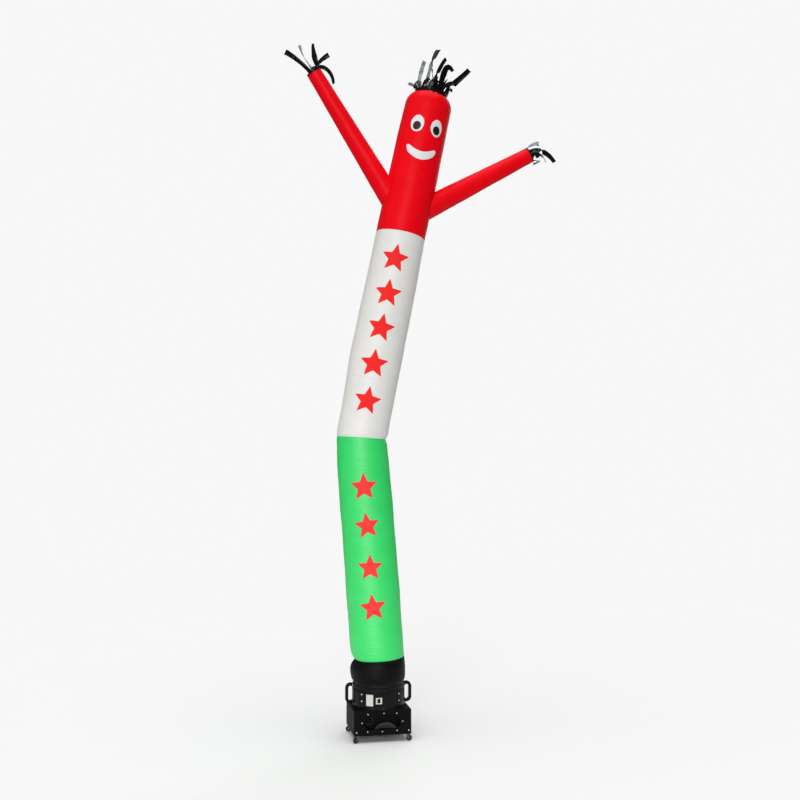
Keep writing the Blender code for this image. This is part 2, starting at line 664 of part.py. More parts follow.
# Switch plate, rocker switch, power inlet and blank plate: flat pieces on a block that fits the drum.
def drum_frame(turn):
    """The outward, sideways and upward directions at an angle round the drum from the front."""
    angle = math.radians(turn - 90.0)
    out = Vector((math.cos(angle), math.sin(angle), 0.0))
    return out, Vector((-out.y, out.x, 0.0)), Vector((0, 0, 1))


def flat_piece(turn, near, far, x0, x1, z0, z1):
    """A straight block on the drum's side, x and z in its own flat face."""
    out, across, up = drum_frame(turn)
    rings = []
    for reach in (near, far):
        rings.append([out * reach + across * x + up * z for x, z in ((x0, z0), (x1, z0), (x1, z1), (x0, z1))])
    return plug(rings)


PLATE_FACE = DRUM_RADIUS + 0.0065
half_w, half_h = PLATE_WIDTH / 2, PLATE_HEIGHT / 2
SWITCH_X, SWITCH_HALF = -0.0300, 0.0265
INLET_X, INLET_HALF_W, INLET_HALF_H = 0.0280, 0.0150, 0.0135
plate = flat_piece(PLATE_TURN, DRUM_RADIUS - 0.03, PLATE_FACE, -half_w, half_w, PLATE_MIDDLE - half_h,
                   PLATE_MIDDLE + half_h)
drum_clear = plug([circle(Vector((0, 0, z)), Vector((1, 0, 0)), BACK, DRUM_RADIUS + 0.0004, DRUM_SIDES)
                   for z in (0.2, 0.5)])
pockets = [
    flat_piece(PLATE_TURN, PLATE_FACE - 0.0045, PLATE_FACE + 0.02, SWITCH_X - SWITCH_HALF, SWITCH_X + SWITCH_HALF,
               PLATE_MIDDLE - SWITCH_HALF, PLATE_MIDDLE + SWITCH_HALF),
    flat_piece(PLATE_TURN, PLATE_FACE - 0.0045, PLATE_FACE + 0.02, INLET_X - INLET_HALF_W, INLET_X + INLET_HALF_W,
               PLATE_MIDDLE - INLET_HALF_H, PLATE_MIDDLE + INLET_HALF_H),
]
put("switch_plate", solved(plate, drum_clear, *pockets), BLACK_PLASTIC)

BEZEL_BACK = PLATE_FACE - 0.0045 + TOUCH
BEZEL_FACE = PLATE_FACE + 0.0025
ROCKER_HALF_W, ROCKER_HALF_H = 0.0120, 0.0165
bezel = flat_piece(PLATE_TURN, BEZEL_BACK, BEZEL_FACE, SWITCH_X - SWITCH_HALF + TOUCH, SWITCH_X + SWITCH_HALF - TOUCH,
                   PLATE_MIDDLE - SWITCH_HALF + TOUCH, PLATE_MIDDLE + SWITCH_HALF - TOUCH)
opening = flat_piece(PLATE_TURN, BEZEL_BACK + 0.0008, BEZEL_FACE + 0.01, SWITCH_X - ROCKER_HALF_W - 0.0008,
                     SWITCH_X + ROCKER_HALF_W + 0.0008, PLATE_MIDDLE - ROCKER_HALF_H - 0.0012,
                     PLATE_MIDDLE + ROCKER_HALF_H + 0.0012)
put("switch_bezel", solved(bezel, opening), PALE_PLATE)

# The rocker turns about a pin across its middle, and rests with its lower half pressed in.
out, across, up = drum_frame(PLATE_TURN)
ROCKER_AXIS_DEPTH = BEZEL_FACE - 0.0005
pivot = out * ROCKER_AXIS_DEPTH + across * SWITCH_X + up * PLATE_MIDDLE
ROCKER_TILT = 9.0
section_points = ((-ROCKER_HALF_H, -0.0008), (0.0, -0.0038), (ROCKER_HALF_H, -0.0008), (ROCKER_HALF_H, 0.0028),
                  (0.0, 0.0012), (-ROCKER_HALF_H, 0.0028))
tilt = Matrix.Rotation(math.radians(ROCKER_TILT), 3, across)
rings = []
for x in (-ROCKER_HALF_W, ROCKER_HALF_W):
    rings.append([tilt @ (across * x + up * z + out * d) for z, d in section_points])
rocker_pivot = bpy.data.objects.new("rocker_pivot", None)
rocker_pivot.location = pivot
bpy.context.scene.collection.objects.link(rocker_pivot)
rocker_pivot.parent = place
put("switch_rocker", plug(rings), BLACK_PLASTIC, parent=rocker_pivot)

inlet = flat_piece(PLATE_TURN, BEZEL_BACK, PLATE_FACE + 0.0030, INLET_X - INLET_HALF_W + TOUCH,
                   INLET_X + INLET_HALF_W - TOUCH, PLATE_MIDDLE - INLET_HALF_H + TOUCH,
                   PLATE_MIDDLE + INLET_HALF_H - TOUCH)
socket = flat_piece(PLATE_TURN, BEZEL_BACK + 0.0015, PLATE_FACE + 0.01, INLET_X - 0.0105, INLET_X + 0.0105,
                    PLATE_MIDDLE - 0.0085, PLATE_MIDDLE + 0.0085)
put("power_inlet", solved(inlet, socket), BLACK_PLASTIC)

for number, (x, z) in enumerate(((-1, -1), (1, -1), (1, 1), (-1, 1)), 1):
    middle = out * (PLATE_FACE + TOUCH) + across * (x * (half_w - 0.010)) + up * (PLATE_MIDDLE + z * (half_h - 0.010))
    round_head(f"plate_screw_{number}", middle, out, 0.0045, 0.0025, BLACK_STEEL, 8)

blank = arc_block(LABEL_TURN, math.degrees(LABEL_WIDTH / DRUM_RADIUS), PLATE_MIDDLE - LABEL_HEIGHT / 2,
                  PLATE_MIDDLE + LABEL_HEIGHT / 2, DRUM_RADIUS + 0.0004, DRUM_RADIUS + 0.0014, 4)
put("blank_plate", blank, PALE_PLATE)


# Casters: a plate under the base, a fork that swivels under it, and a wheel on the fork's pin.
CASTER_PLATE = 0.0025
CROWN, CROWN_RADIUS, CROWN_SIDES = 0.0032, 0.0195, 20
LEG_THICK, LEG_GAP, LEG_FOOT_HALF = 0.0022, 0.0012, 0.006
LEG_BACK, LEG_FRONT = -0.010, 0.014
for corner, turn in CASTER_TURNS.items():
    x = -CASTER_X if corner.endswith("left") else CASTER_X
    y = -CASTER_Y if corner.startswith("front") else CASTER_Y
    plate_top = BASE_BOTTOM - TOUCH
    plate = box(x - CASTER_PLATE_HALF, x + CASTER_PLATE_HALF, y - CASTER_PLATE_HALF, y + CASTER_PLATE_HALF,
                plate_top - CASTER_PLATE, plate_top)
    put(f"caster_plate_{corner}", plate, ZINC)

    swivel = bpy.data.objects.new(f"swivel_{corner}", None)
    swivel.location = (x, y, 0.0)
    swivel.rotation_euler = (0.0, 0.0, math.radians(turn))
    bpy.context.scene.collection.objects.link(swivel)
    swivel.parent = place
    crown_top = plate_top - CASTER_PLATE - TOUCH
    crown = plug([circle(Vector((0, 0, z)), Vector((1, 0, 0)), BACK, CROWN_RADIUS, CROWN_SIDES)
                  for z in (crown_top - CROWN, crown_top)])
    leg_y = WHEEL_WIDTH / 2 + LEG_GAP
    legs = []
    for side in (-1, 1):
        y0, y1 = sorted((side * leg_y, side * (leg_y + LEG_THICK)))
        outline = [(LEG_BACK, crown_top - CROWN / 2), (-TRAIL - LEG_FOOT_HALF, WHEEL_RADIUS - LEG_FOOT_HALF),
                   (-TRAIL + LEG_FOOT_HALF, WHEEL_RADIUS - LEG_FOOT_HALF), (LEG_FRONT, crown_top - CROWN / 2)]
        legs.append(plug([[Vector((px, py, pz)) for px, pz in outline] for py in (y0, y1)]))
    hub = Vector((-TRAIL, 0.0, WHEEL_RADIUS))
    ends = leg_y + LEG_THICK + LEG_GAP
    pin = plug([circle(hub + BACK * py, Vector((1, 0, 0)), Vector((0, 0, 1)), PIN_RADIUS, 10)
                for py in (-ends, ends)])
    put(f"caster_fork_{corner}", solved(crown, *legs, pin, operation="UNION"), ZINC, parent=swivel)

    axle = bpy.data.objects.new(f"axle_{corner}", None)
    axle.location = hub
    bpy.context.scene.collection.objects.link(axle)
    axle.parent = swivel
    half = WHEEL_WIDTH / 2
    bore = PIN_RADIUS + 0.0005
    tread = [(bore, -half), (WHEEL_RADIUS * 0.90, -half), (WHEEL_RADIUS, -half + 0.002),
             (WHEEL_RADIUS, half - 0.002), (WHEEL_RADIUS * 0.90, half), (bore, half)]
    bm = bmesh.new()
    flat = math.pi / WHEEL_SIDES
    rings = [circle(BACK * w, Vector((1, 0, 0)), Vector((0, 0, 1)), r / math.cos(flat), WHEEL_SIDES, flat)
             for r, w in tread]
    skin(bm, rings, closed=True)
    put(f"caster_wheel_{corner}", mesh_of(bm), RUBBER, parent=axle)
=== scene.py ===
"""The looks of an inflatable air dancer: a cloth tube in three colours, kept up by a blower on casters."""
import math

import bmesh
import bpy
import numpy as np
from mathutils import Matrix, Vector, noise


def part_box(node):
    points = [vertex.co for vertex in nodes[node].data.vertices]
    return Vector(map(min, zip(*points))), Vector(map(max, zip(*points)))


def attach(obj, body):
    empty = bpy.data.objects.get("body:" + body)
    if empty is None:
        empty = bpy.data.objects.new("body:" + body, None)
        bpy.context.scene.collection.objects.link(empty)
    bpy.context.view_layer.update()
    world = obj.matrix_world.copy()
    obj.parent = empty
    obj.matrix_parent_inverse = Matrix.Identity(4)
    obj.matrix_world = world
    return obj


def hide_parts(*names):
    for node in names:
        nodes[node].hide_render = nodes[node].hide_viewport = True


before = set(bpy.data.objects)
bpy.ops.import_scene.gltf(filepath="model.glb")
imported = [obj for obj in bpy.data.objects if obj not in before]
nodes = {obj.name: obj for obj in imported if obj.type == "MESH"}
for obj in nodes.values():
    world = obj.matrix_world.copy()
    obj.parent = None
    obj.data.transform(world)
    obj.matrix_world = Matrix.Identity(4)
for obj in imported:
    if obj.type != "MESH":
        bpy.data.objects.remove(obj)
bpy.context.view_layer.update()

# Base of the blower: a square box of black moulded plastic that holds the fan's weight. Its corners are
# rounded by the mould, and its skin has the fine grain of a textured tool.
base_low, base_high = (Vector(corner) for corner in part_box("base"))
BLOWER_X = (base_low.x + base_high.x) / 2
BLOWER_Y = (base_low.y + base_high.y) / 2
FRONT = base_low.y


def feed(tree, node, **sockets):
    """Sets a node's sockets by name, or joins them to the outputs of other nodes."""
    for name, value in sockets.items():
        socket = node.inputs[name.replace("_", " ")]
        if isinstance(value, bpy.types.NodeSocket):
            tree.links.new(value, socket)
        else:
            socket.default_value = (*value, 1.0) if socket.type == "RGBA" else value
    return node


def add_node(tree, kind, **sockets):
    """A new node of this kind, fed in the same way."""
    return feed(tree, tree.nodes.new(kind), **sockets)


def finish_of(name, colour, roughness, **sockets):
    """A new node material, its tree and its shader, ready for the nodes that vary it."""
    mat = bpy.data.materials.new(name)
    mat.use_nodes = True
    shader = mat.node_tree.nodes["Principled BSDF"]
    feed(mat.node_tree, shader, Base_Color=colour, Roughness=roughness, **sockets)
    return mat, mat.node_tree, shader


def cloudy(tree, place, **sockets):
    """A soft uneven share over these places."""
    return add_node(tree, "ShaderNodeTexNoise", Vector=place, **sockets).outputs["Fac"]


def blended(tree, share, first, second):
    """The colour at this share of the way from the first to the second."""
    made = tree.nodes.new("ShaderNodeMix")
    made.data_type = "RGBA"
    return feed(tree, made, Factor=share, A=first, B=second).outputs["Result"]


def ranged(tree, share, low, high, start=0.0, end=1.0):
    """A number from low to high while the share goes from start to end."""
    made = add_node(tree, "ShaderNodeMapRange", Value=share, From_Min=start, From_Max=end, To_Min=low, To_Max=high)
    return made.outputs["Result"]


def raised(tree, height, strength, distance, **under):
    """The skin's normal over a relief of this height."""
    made = add_node(tree, "ShaderNodeBump", Height=height, Strength=strength, Distance=distance, **under)
    return made.outputs["Normal"]


def moulded_plastic(name, dark, light, low, high, grain=900.0, gloss=0.3, **coat):
    """Moulded plastic: broad clouds in colour and gloss, and the fine grain of the tool in the bump."""
    mat, tree, shader = finish_of(name, dark, low, Specular_IOR_Level=gloss, **coat)
    place = add_node(tree, "ShaderNodeTexCoord").outputs["Object"]
    clouds = cloudy(tree, place, Scale=9.0, Detail=6.0, Roughness=0.6)
    grains = cloudy(tree, place, Scale=grain, Detail=2.0)
    feed(tree, shader, Base_Color=blended(tree, clouds, dark, light), Roughness=ranged(tree, clouds, low, high),
         Normal=raised(tree, grains, 0.25, 0.0004))
    return mat


def repaint(names, mat):
    """Gives these carried-over nodes one material."""
    for name in names:
        data = nodes[name].data
        data.materials.clear()
        data.materials.append(mat)


grained_black = moulded_plastic("grained black plastic", (0.0030, 0.0028, 0.0026), (0.0065, 0.006, 0.0056),
                                0.50, 0.64, gloss=0.05)
repaint(["base"], grained_black)


# Drum and handles: the blower's round duct, moulded with two ribs and a flared foot, and a grab handle on
# each side whose curved flange is bolted to the drum by four bolts.
def polished_black(name):
    """Black plastic from a polished mould, with a thin clear shine."""
    return moulded_plastic(name, (0.0025, 0.0024, 0.0023), (0.005, 0.0048, 0.0045), 0.28, 0.40, 500.0, 0.03,
                           Coat_Weight=0.20, Coat_Roughness=0.14)


def turned_round(mat, middle):
    """Lets a round wall shade as one even sweep about its upright middle line."""
    tree = mat.node_tree

    def vector_step(operation, *values):
        made = tree.nodes.new("ShaderNodeVectorMath")
        made.operation = operation
        for socket, value in zip(made.inputs, values):
            if isinstance(value, bpy.types.NodeSocket):
                tree.links.new(value, socket)
            else:
                socket.default_value = value
        return made.outputs["Value" if operation == "DOT_PRODUCT" else "Vector"]

    facet = add_node(tree, "ShaderNodeNewGeometry").outputs["Normal"]
    away = vector_step("SUBTRACT", add_node(tree, "ShaderNodeTexCoord").outputs["Object"], middle)
    away = vector_step("NORMALIZE", vector_step("MULTIPLY", away, (1.0, 1.0, 0.0)))
    outwards = vector_step("MULTIPLY", away, vector_step("DOT_PRODUCT", facet, away))
    upwards = vector_step("MULTIPLY", facet, (0.0, 0.0, 1.0))
    even = vector_step("NORMALIZE", vector_step("ADD", outwards, upwards))
    bump = next(node for node in tree.nodes if node.bl_idname == "ShaderNodeBump")
    feed(tree, bump, Normal=even)
    feed(tree, tree.nodes["Principled BSDF"], Coat_Normal=bump.outputs["Normal"])


smooth_black = polished_black("smooth black plastic")
drum_black = polished_black("drum black plastic")
turned_round(drum_black, (BLOWER_X, BLOWER_Y, 0.0))
repaint(["drum"], drum_black)
repaint(["handle_left", "handle_right", "switch_plate", "power_inlet", "switch_rocker"], smooth_black)


# Screws, bolts and caster forks: zinc-plated steel, brushed by handling. The guard's rim and the switch
# plate's small screws are coated black. Each screw is driven into the plastic behind it.
def plated_steel(name, colour, low, high, metallic=1.0):
    """Plated or painted steel with fine brushing and a cloudy gloss."""
    mat, tree, shader = finish_of(name, colour, low, Metallic=metallic, Specular_IOR_Level=0.5 if metallic else 0.05)
    brushing = cloudy(tree, add_node(tree, "ShaderNodeTexCoord").outputs["Object"], Scale=400.0, Detail=3.0)
    feed(tree, shader, Roughness=ranged(tree, brushing, low, high), Normal=raised(tree, brushing, 0.2, 0.0002))
    return mat


bright_zinc = plated_steel("bright zinc", (0.74, 0.74, 0.72), 0.18, 0.34)
black_steel = plated_steel("black coated steel", (0.004, 0.004, 0.004), 0.40, 0.55, 0.0)
dark_zinc = plated_steel("dark zinc", (0.16, 0.16, 0.165), 0.22, 0.40)
repaint([n for n in nodes if n.startswith(("bolt_", "guard_screw", "corner_bolt"))], bright_zinc)
repaint([n for n in nodes if n.startswith(("caster_fork", "caster_plate"))], dark_zinc)
repaint([n for n in nodes if n.startswith("plate_screw")] + ["intake_guard"], black_steel)

# Blank plate and switch surround: pale satin plastic. The plate is glued to the drum and left plain, and
# the surround clips into the switch plate round the rocker.
pale_plastic = moulded_plastic("pale plastic", (0.53, 0.53, 0.48), (0.64, 0.64, 0.58), 0.4, 0.55, 600.0)
repaint(["blank_plate", "switch_bezel"], pale_plastic)

# Inside the intake: the fan's spun inlet lip, whose top shows above the guard's lower edge, and the round
# rim of its bearing housing. Both are steel, painted dark grey, and stand on the back of the recess.
BODY = "blower_and_tube"
RECESS_BACK = FRONT + 0.0535
LIP_MIDDLE, LIP_RADIUS, LIP_ARC = (0.028, 0.048), 0.092, (28.0, 152.0)
LIP_PROFILE = ((-0.040, 0.004), (-0.024, 0.009), (-0.010, 0.017), (0.000, 0.025), (0.010, 0.031), (0.022, 0.034))
LIP_SHEET = 0.0016
LIP_STEPS, LIP_THINNING = 48, 0.0006
BEARING_MIDDLE, BEARING_RADIUS, BEARING_ROUND, BEARING_PROUD = (-0.112, 0.178), 0.036, 0.0024, 0.004
BEARING_STEPS, BEARING_SIDES = 48, 10


def placed(name, mesh):
    """A new object in the scene that shows this mesh."""
    obj = bpy.data.objects.new(name, mesh)
    bpy.context.scene.collection.objects.link(obj)
    return obj


def join_rings(bm, rings):
    """Faces between each ring of corners and the next."""
    for low, high in zip(rings, rings[1:]):
        for i in range(len(low)):
            j = (i + 1) % len(low)
            bm.faces.new((low[i], low[j], high[j], high[i]))


def smoothed(name, bm, sharp):
    """An object of these faces, smooth apart from edges that turn by more than this."""
    bmesh.ops.recalc_face_normals(bm, faces=bm.faces)
    mesh = bpy.data.meshes.new(name)
    bm.to_mesh(mesh)
    bm.free()
    mesh.shade_smooth()
    mesh.set_sharp_from_angle(angle=math.radians(sharp))
    return placed(name, mesh)


def spun(name, middle, section, turns, closed):
    """A section of reaches and depths turned about a level line; an open run is capped at both ends."""
    bm = bmesh.new()
    made = [[bm.verts.new((BLOWER_X + middle[0] + reach * math.cos(turn), RECESS_BACK - forward,
                           middle[1] + reach * math.sin(turn))) for reach, forward in section] for turn in turns]
    join_rings(bm, made + made[:1] if closed else made)
    if not closed:
        bm.faces.new(made[0][::-1])
        bm.faces.new(made[-1])
    return smoothed(name, bm, 40)


def dress(obj, mat, slot, *stands_for):
    """Puts a made piece in its place: its finish, its body, and the nodes that it stands for hidden. The slot is not
    used.
    """
    obj.data.materials.clear()
    obj.data.materials.append(mat)
    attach(obj, BODY)
    if stands_for:
        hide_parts(*stands_for)
    return obj


def round_turns(count):
    """Even turns once round, in radians."""
    return [2 * math.pi * k / count for k in range(count)]


lip_section = [(LIP_RADIUS + out, forward) for out, forward in LIP_PROFILE]
lip_section += [(reach - LIP_SHEET, forward - LIP_THINNING) for reach, forward in reversed(lip_section)]
lip_turns = [math.radians(LIP_ARC[0] + (LIP_ARC[1] - LIP_ARC[0]) * k / LIP_STEPS) for k in range(LIP_STEPS + 1)]
bearing_section = [(BEARING_RADIUS + BEARING_ROUND * math.cos(bend), BEARING_PROUD + BEARING_ROUND * math.sin(bend))
                   for bend in round_turns(BEARING_SIDES)]
grey_steel = plated_steel("dark grey painted steel", (0.050, 0.045, 0.041), 0.40, 0.55, 0.0)
for inner in (spun("fan_inlet_lip", LIP_MIDDLE, lip_section, lip_turns, False),
              spun("bearing_rim", BEARING_MIDDLE, bearing_section, round_turns(BEARING_STEPS), True)):
    dress(inner, grey_steel, "black_steel")

# Caster wheels: black rubber treads moulded on plain hubs. Each turns on a steel pin between the two
# cheeks of its fork.
rubber = moulded_plastic("tread rubber", (0.012, 0.012, 0.012), (0.03, 0.03, 0.03), 0.6, 0.8, 700.0)
repaint([n for n in nodes if n.startswith("caster_wheel")], rubber)


# Sleeve: the black cloth cuff that is pulled over the drum's collar and sewn to the green length. It is
# coated cloth like the rest, held round the collar by its hem, and pushed out by the air above it.
# Rows of every length of the tube, bottom to top: height, sideways lean of the middle, radius, ring's tilt.
SLEEVE = (
    (0.484, 0.000, 0.2244, 0.0),
    (0.498, -0.002, 0.2290, 0.0),
    (0.533, -0.004, 0.2340, -0.5),
    (0.590, -0.004, 0.2340, -1.5),
    (0.630, -0.002, 0.2280, -2.3),
    (0.668, 0.003, 0.2180, -3.2),
)
# Places where the cloth is drawn in: height, turn round the tube from +X, depth, reach up and down, spread.
PINCHES = (
    (0.668, 172, 0.013, 0.030, 34),
    (0.585, 178, -0.004, 0.050, 40),
    (2.548, -20, 0.016, 0.035, 42),
    (2.548, 205, -0.005, 0.060, 50),
    (2.430, 20, 0.004, 0.050, 60),
    (3.270, 190, -0.004, 0.220, 70),
    (1.240, 20, -0.003, 0.200, 60),
)
AROUND = 256
SPACING = 0.009
HEM_STEPS = (0.0, 0.0012, 0.003, 0.0055, 0.009, 0.014, 0.020, 0.028)


def through_rows(rows, steps=24):
    """Many rows on a smooth line through the given ones, with the distance along their middles."""
    table = np.array(rows, float)
    padded = np.vstack([2 * table[0] - table[1], table, 2 * table[-1] - table[-2]])
    fine = []
    for k in range(1, len(padded) - 2):
        a, b, c, d = padded[k - 1], padded[k], padded[k + 1], padded[k + 2]
        for t in np.arange(steps) / steps:
            fine.append(0.5 * (2 * b + (c - a) * t + (2 * a - 5 * b + 4 * c - d) * t ** 2
                               + (3 * b - a - 3 * c + d) * t ** 3))
    fine.append(table[-1])
    fine = np.array(fine)
    moved = np.hypot(np.diff(fine[:, 0]), np.diff(fine[:, 1]))
    return fine, np.concatenate([[0.0], np.cumsum(moved)])


def ring_places(length):
    """Distances of the rings along a length of tube, close together at both sewn ends."""
    ends = [step for step in HEM_STEPS if step < length / 2]
    middle = np.arange(ends[-1] + SPACING, length - ends[-1] - SPACING / 2, SPACING)
    return np.array(ends + list(middle) + [length - step for step in reversed(ends)])


skin_rings = {}


def cloth_tube(name, rows, relief):
    """A length of tube as a fine open-ended skin. relief gives how far the cloth is pushed in, in metres."""
    fine, distance = through_rows(rows)
    places = ring_places(distance[-1])
    table = np.array([np.interp(places, distance, fine[:, k]) for k in range(4)]).T
    turns = np.radians(90.0 + 360.0 * np.arange(AROUND) / AROUND)
    height, lean, radius, tilt = (table[:, k][:, None] for k in range(4))
    tilt = np.radians(tilt)
    drawn_in = np.zeros((len(places), AROUND))
    for middle, turn, depth, reach, spread in PINCHES:
        off = (np.degrees(turns)[None, :] - turn + 180.0) % 360.0 - 180.0
        drawn_in += depth * np.exp(-((height - middle) / reach) ** 2 - (off / spread) ** 2)
    from_front = (np.degrees(turns) + 90.0 + 180.0) % 360.0 - 180.0
    drawn_in += relief(places[:, None], from_front[None, :], distance[-1])
    reach = radius - drawn_in
    x = lean + np.cos(tilt) * reach * np.cos(turns)
    y = reach * np.sin(turns)
    z = height - np.sin(tilt) * reach * np.cos(turns)
    points = np.stack([x + BLOWER_X, y + BLOWER_Y, z], axis=-1)
    skin_rings[name] = points, places
    return skin_of(name, points, float(2 * math.pi * radius.mean()), places)


def skin_of(name, points, width, places, closed=True):
    """A mesh object from rows of points, which close on themselves or not, with its cloth's flat sizes as UVs."""
    index = np.arange(points.shape[0] * points.shape[1]).reshape(points.shape[:2])
    if closed:
        index = np.hstack([index, index[:, :1]])
    left, right = index[:, :-1], index[:, 1:]
    quads = np.stack([left[:-1], right[:-1], right[1:], left[1:]], axis=-1).reshape(-1, 4)
    mesh = bpy.data.meshes.new(name)
    mesh.from_pydata(points.reshape(-1, 3).tolist(), [], quads.tolist())
    u = np.linspace(0.0, width, index.shape[1])
    corner = np.empty((len(index) - 1, index.shape[1] - 1, 4, 2))
    corner[..., 0, 0] = corner[..., 3, 0] = u[None, :-1]
    corner[..., 1, 0] = corner[..., 2, 0] = u[None, 1:]
    corner[..., 0, 1] = corner[..., 1, 1] = places[:-1, None]
    corner[..., 2, 1] = corner[..., 3, 1] = places[1:, None]
    mesh.uv_layers.new(name="flat").data.foreach_set("uv", corner.reshape(-1))
    mesh.shade_smooth()
    return placed(name, mesh)


def along_path(path, pitch, closed):
    """Even steps along a line of points."""
    path = np.asarray(path, float)
    if closed:
        path = np.vstack([path, path[:1]])
    run = np.concatenate([[0.0], np.cumsum(np.linalg.norm(np.diff(path, axis=0), axis=1))])
    count = max(int(run[-1] / pitch), 2)
    steps = np.linspace(0.0, run[-1], count + 1)
    return np.array([np.interp(steps, run, path[:, k]) for k in range(3)]).T


def stitches(name, paths, thread, slot, pitch=0.0075, wide=0.0016, proud=0.0010, fill=0.72):
    """Rows of thread stitches in one mesh. Each path is its points, a point inside each and if it closes."""
    shape = np.array([(0, 2, 4), (2, 1, 4), (1, 3, 4), (3, 0, 4), (2, 0, 5), (1, 2, 5), (3, 1, 5), (0, 3, 5)])
    corners, faces, made = [], [], 0
    for path, inside, closed in paths:
        steps = along_path(path, pitch, closed)
        inner = np.asarray(inside, float)
        if closed:
            inner = inner.mean(axis=0)
        else:
            run = np.linspace(0, len(inner) - 1, len(steps))[:-1]
            inner = np.array([np.interp(run, np.arange(len(inner)), inner[:, k]) for k in range(3)]).T
        ahead = np.diff(steps, axis=0)
        middle = steps[:-1] + ahead / 2
        out = middle - inner
        out -= ahead * (np.sum(out * ahead, axis=1) / np.sum(ahead * ahead, axis=1))[:, None]
        out /= np.linalg.norm(out, axis=1)[:, None]
        across = np.cross(ahead, out)
        across /= np.linalg.norm(across, axis=1)[:, None]
        half = ahead * fill / 2
        sunk, sideways = out * proud / 2, across * wide / 2
        block = np.stack([middle - half - sunk, middle + half - sunk, middle + sideways, middle - sideways,
                          middle + out * proud, middle - out * proud], axis=1)
        faces.append((np.arange(len(middle))[:, None, None] * 6 + made + shape[None]).reshape(-1, 3))
        corners.append(block.reshape(-1, 3))
        made += len(corners[-1])
    mesh = bpy.data.meshes.new(name)
    mesh.from_pydata(np.vstack(corners).tolist(), [], np.vstack(faces).tolist())
    return dress(placed(name, mesh), thread, slot)


def sewing_thread(name, colour):
    """Twisted polyester thread: a soft gloss, with painted shade in fine bands for the grooves between its plies."""
    mat, tree, shader = finish_of(name, colour, 0.45)
    place = add_node(tree, "ShaderNodeTexCoord").outputs["Object"]
    ply_groove_shade = add_node(tree, "ShaderNodeTexWave", Vector=place, Scale=900.0, Distortion=1.5).outputs["Fac"]
    # The darker bands are painted shade for the grooves between the plies.
    feed(tree, shader, Base_Color=blended(tree, ply_groove_shade, tuple(c * 0.7 for c in colour), colour))
    return mat


def tube_stitches(name, low_rows, high_rows, thread, slot):
    """Stitch rows round a length at these distances from its two ends, and two rows down its back seam."""
    points, places = skin_rings[name]
    paths = []
    for away in list(low_rows) + [places[-1] - row for row in high_rows]:
        k = int(np.clip(np.searchsorted(places, away), 1, len(places) - 1))
        part = (away - places[k - 1]) / (places[k] - places[k - 1])
        ring = points[k - 1] * (1 - part) + points[k] * part
        paths.append((ring, ring, True))
    middles = points.mean(axis=1)
    for side in (1, -1):
        paths.append((points[3:-3, side], middles[3:-3], False))
    return stitches(f"{name}_stitches", paths, thread, slot)


def gathered(away, reach):
    """How much the thread gathers the cloth at this distance from its row."""
    return np.exp(-away / reach) * (1.0 - np.exp(-away / 0.004))


def seam_puckers(place, turn, length, count, depth, seed):
    """Small gathers that the stitching pulls in at both ends of a length, and the groove of the seam itself."""
    total = 0.0
    for away, shift in ((place, 0.0), (length - place, 1.7)):
        wave = (np.sin(np.radians(turn) * count + shift + seed)
                + 0.6 * np.sin(np.radians(turn) * count * 0.61 + seed * 2.3))
        strength = 0.5 + 0.5 * np.sin(np.radians(turn) * 5.0 + seed)
        total = total + depth * wave * strength * gathered(away, 0.028)
        total = total + 0.0030 * np.exp(-(away / 0.0035) ** 2)
    off_back = np.abs(np.abs((turn + 180.0) % 360.0 - 180.0) - 180.0)
    return total - 0.0016 * np.exp(-(off_back / 1.6) ** 4) + 0.0022 * np.exp(-((off_back - 3.4) / 1.0) ** 2)


def short_wrinkles(length, count, reach, depth, seed):
    """A spread of short cross wrinkles over a length, in the columns of a crease table."""
    rows = []
    for k in range(count):
        up = 0.05 + (length - 0.10) * ((k * 0.618034 + seed) % 1.0)
        turn = 360.0 * ((k * 0.754878 + 0.37 * seed) % 1.0)
        size = 0.55 + 0.9 * ((k * 0.569840 + 0.11 + seed) % 1.0)
        lean = ((k * 0.371 + seed) % 1.0) - 0.5
        rows.append((up, turn, reach * size, depth * (1.6 - size * 0.6), 0.0035 + 0.003 * size,
                     0.012 * lean, -0.006 * lean))
    return tuple(rows)


def creases(place, turn, rows):
    """Soft folds across the cloth: distance up, turn from the front, reach, depth, width, rise and sag."""
    total = 0.0
    for up, middle, reach, depth, width, rise, sag in rows:
        off = ((turn - middle + 180.0) % 360.0 - 180.0) / reach
        line = up + rise * off + sag * off ** 2
        fade = np.clip(1.0 - off ** 2, 0.0, 1.0) ** 1.5
        across = (place - line) / width
        total = total + depth * fade * (np.exp(-across ** 2) - 0.45 * np.exp(-(across / 2.4) ** 2))
    return total


def product_of(tree, first, second):
    """Two shares multiplied."""
    made = tree.nodes.new("ShaderNodeMath")
    made.operation = "MULTIPLY"
    for value, socket in zip((first, second), made.inputs):
        tree.links.new(value, socket)
    return made.outputs["Value"]


def stored(tree, name):
    """The share that a mesh keeps under this name."""
    made = tree.nodes.new("ShaderNodeAttribute")
    made.attribute_name = name
    return made.outputs["Fac"]


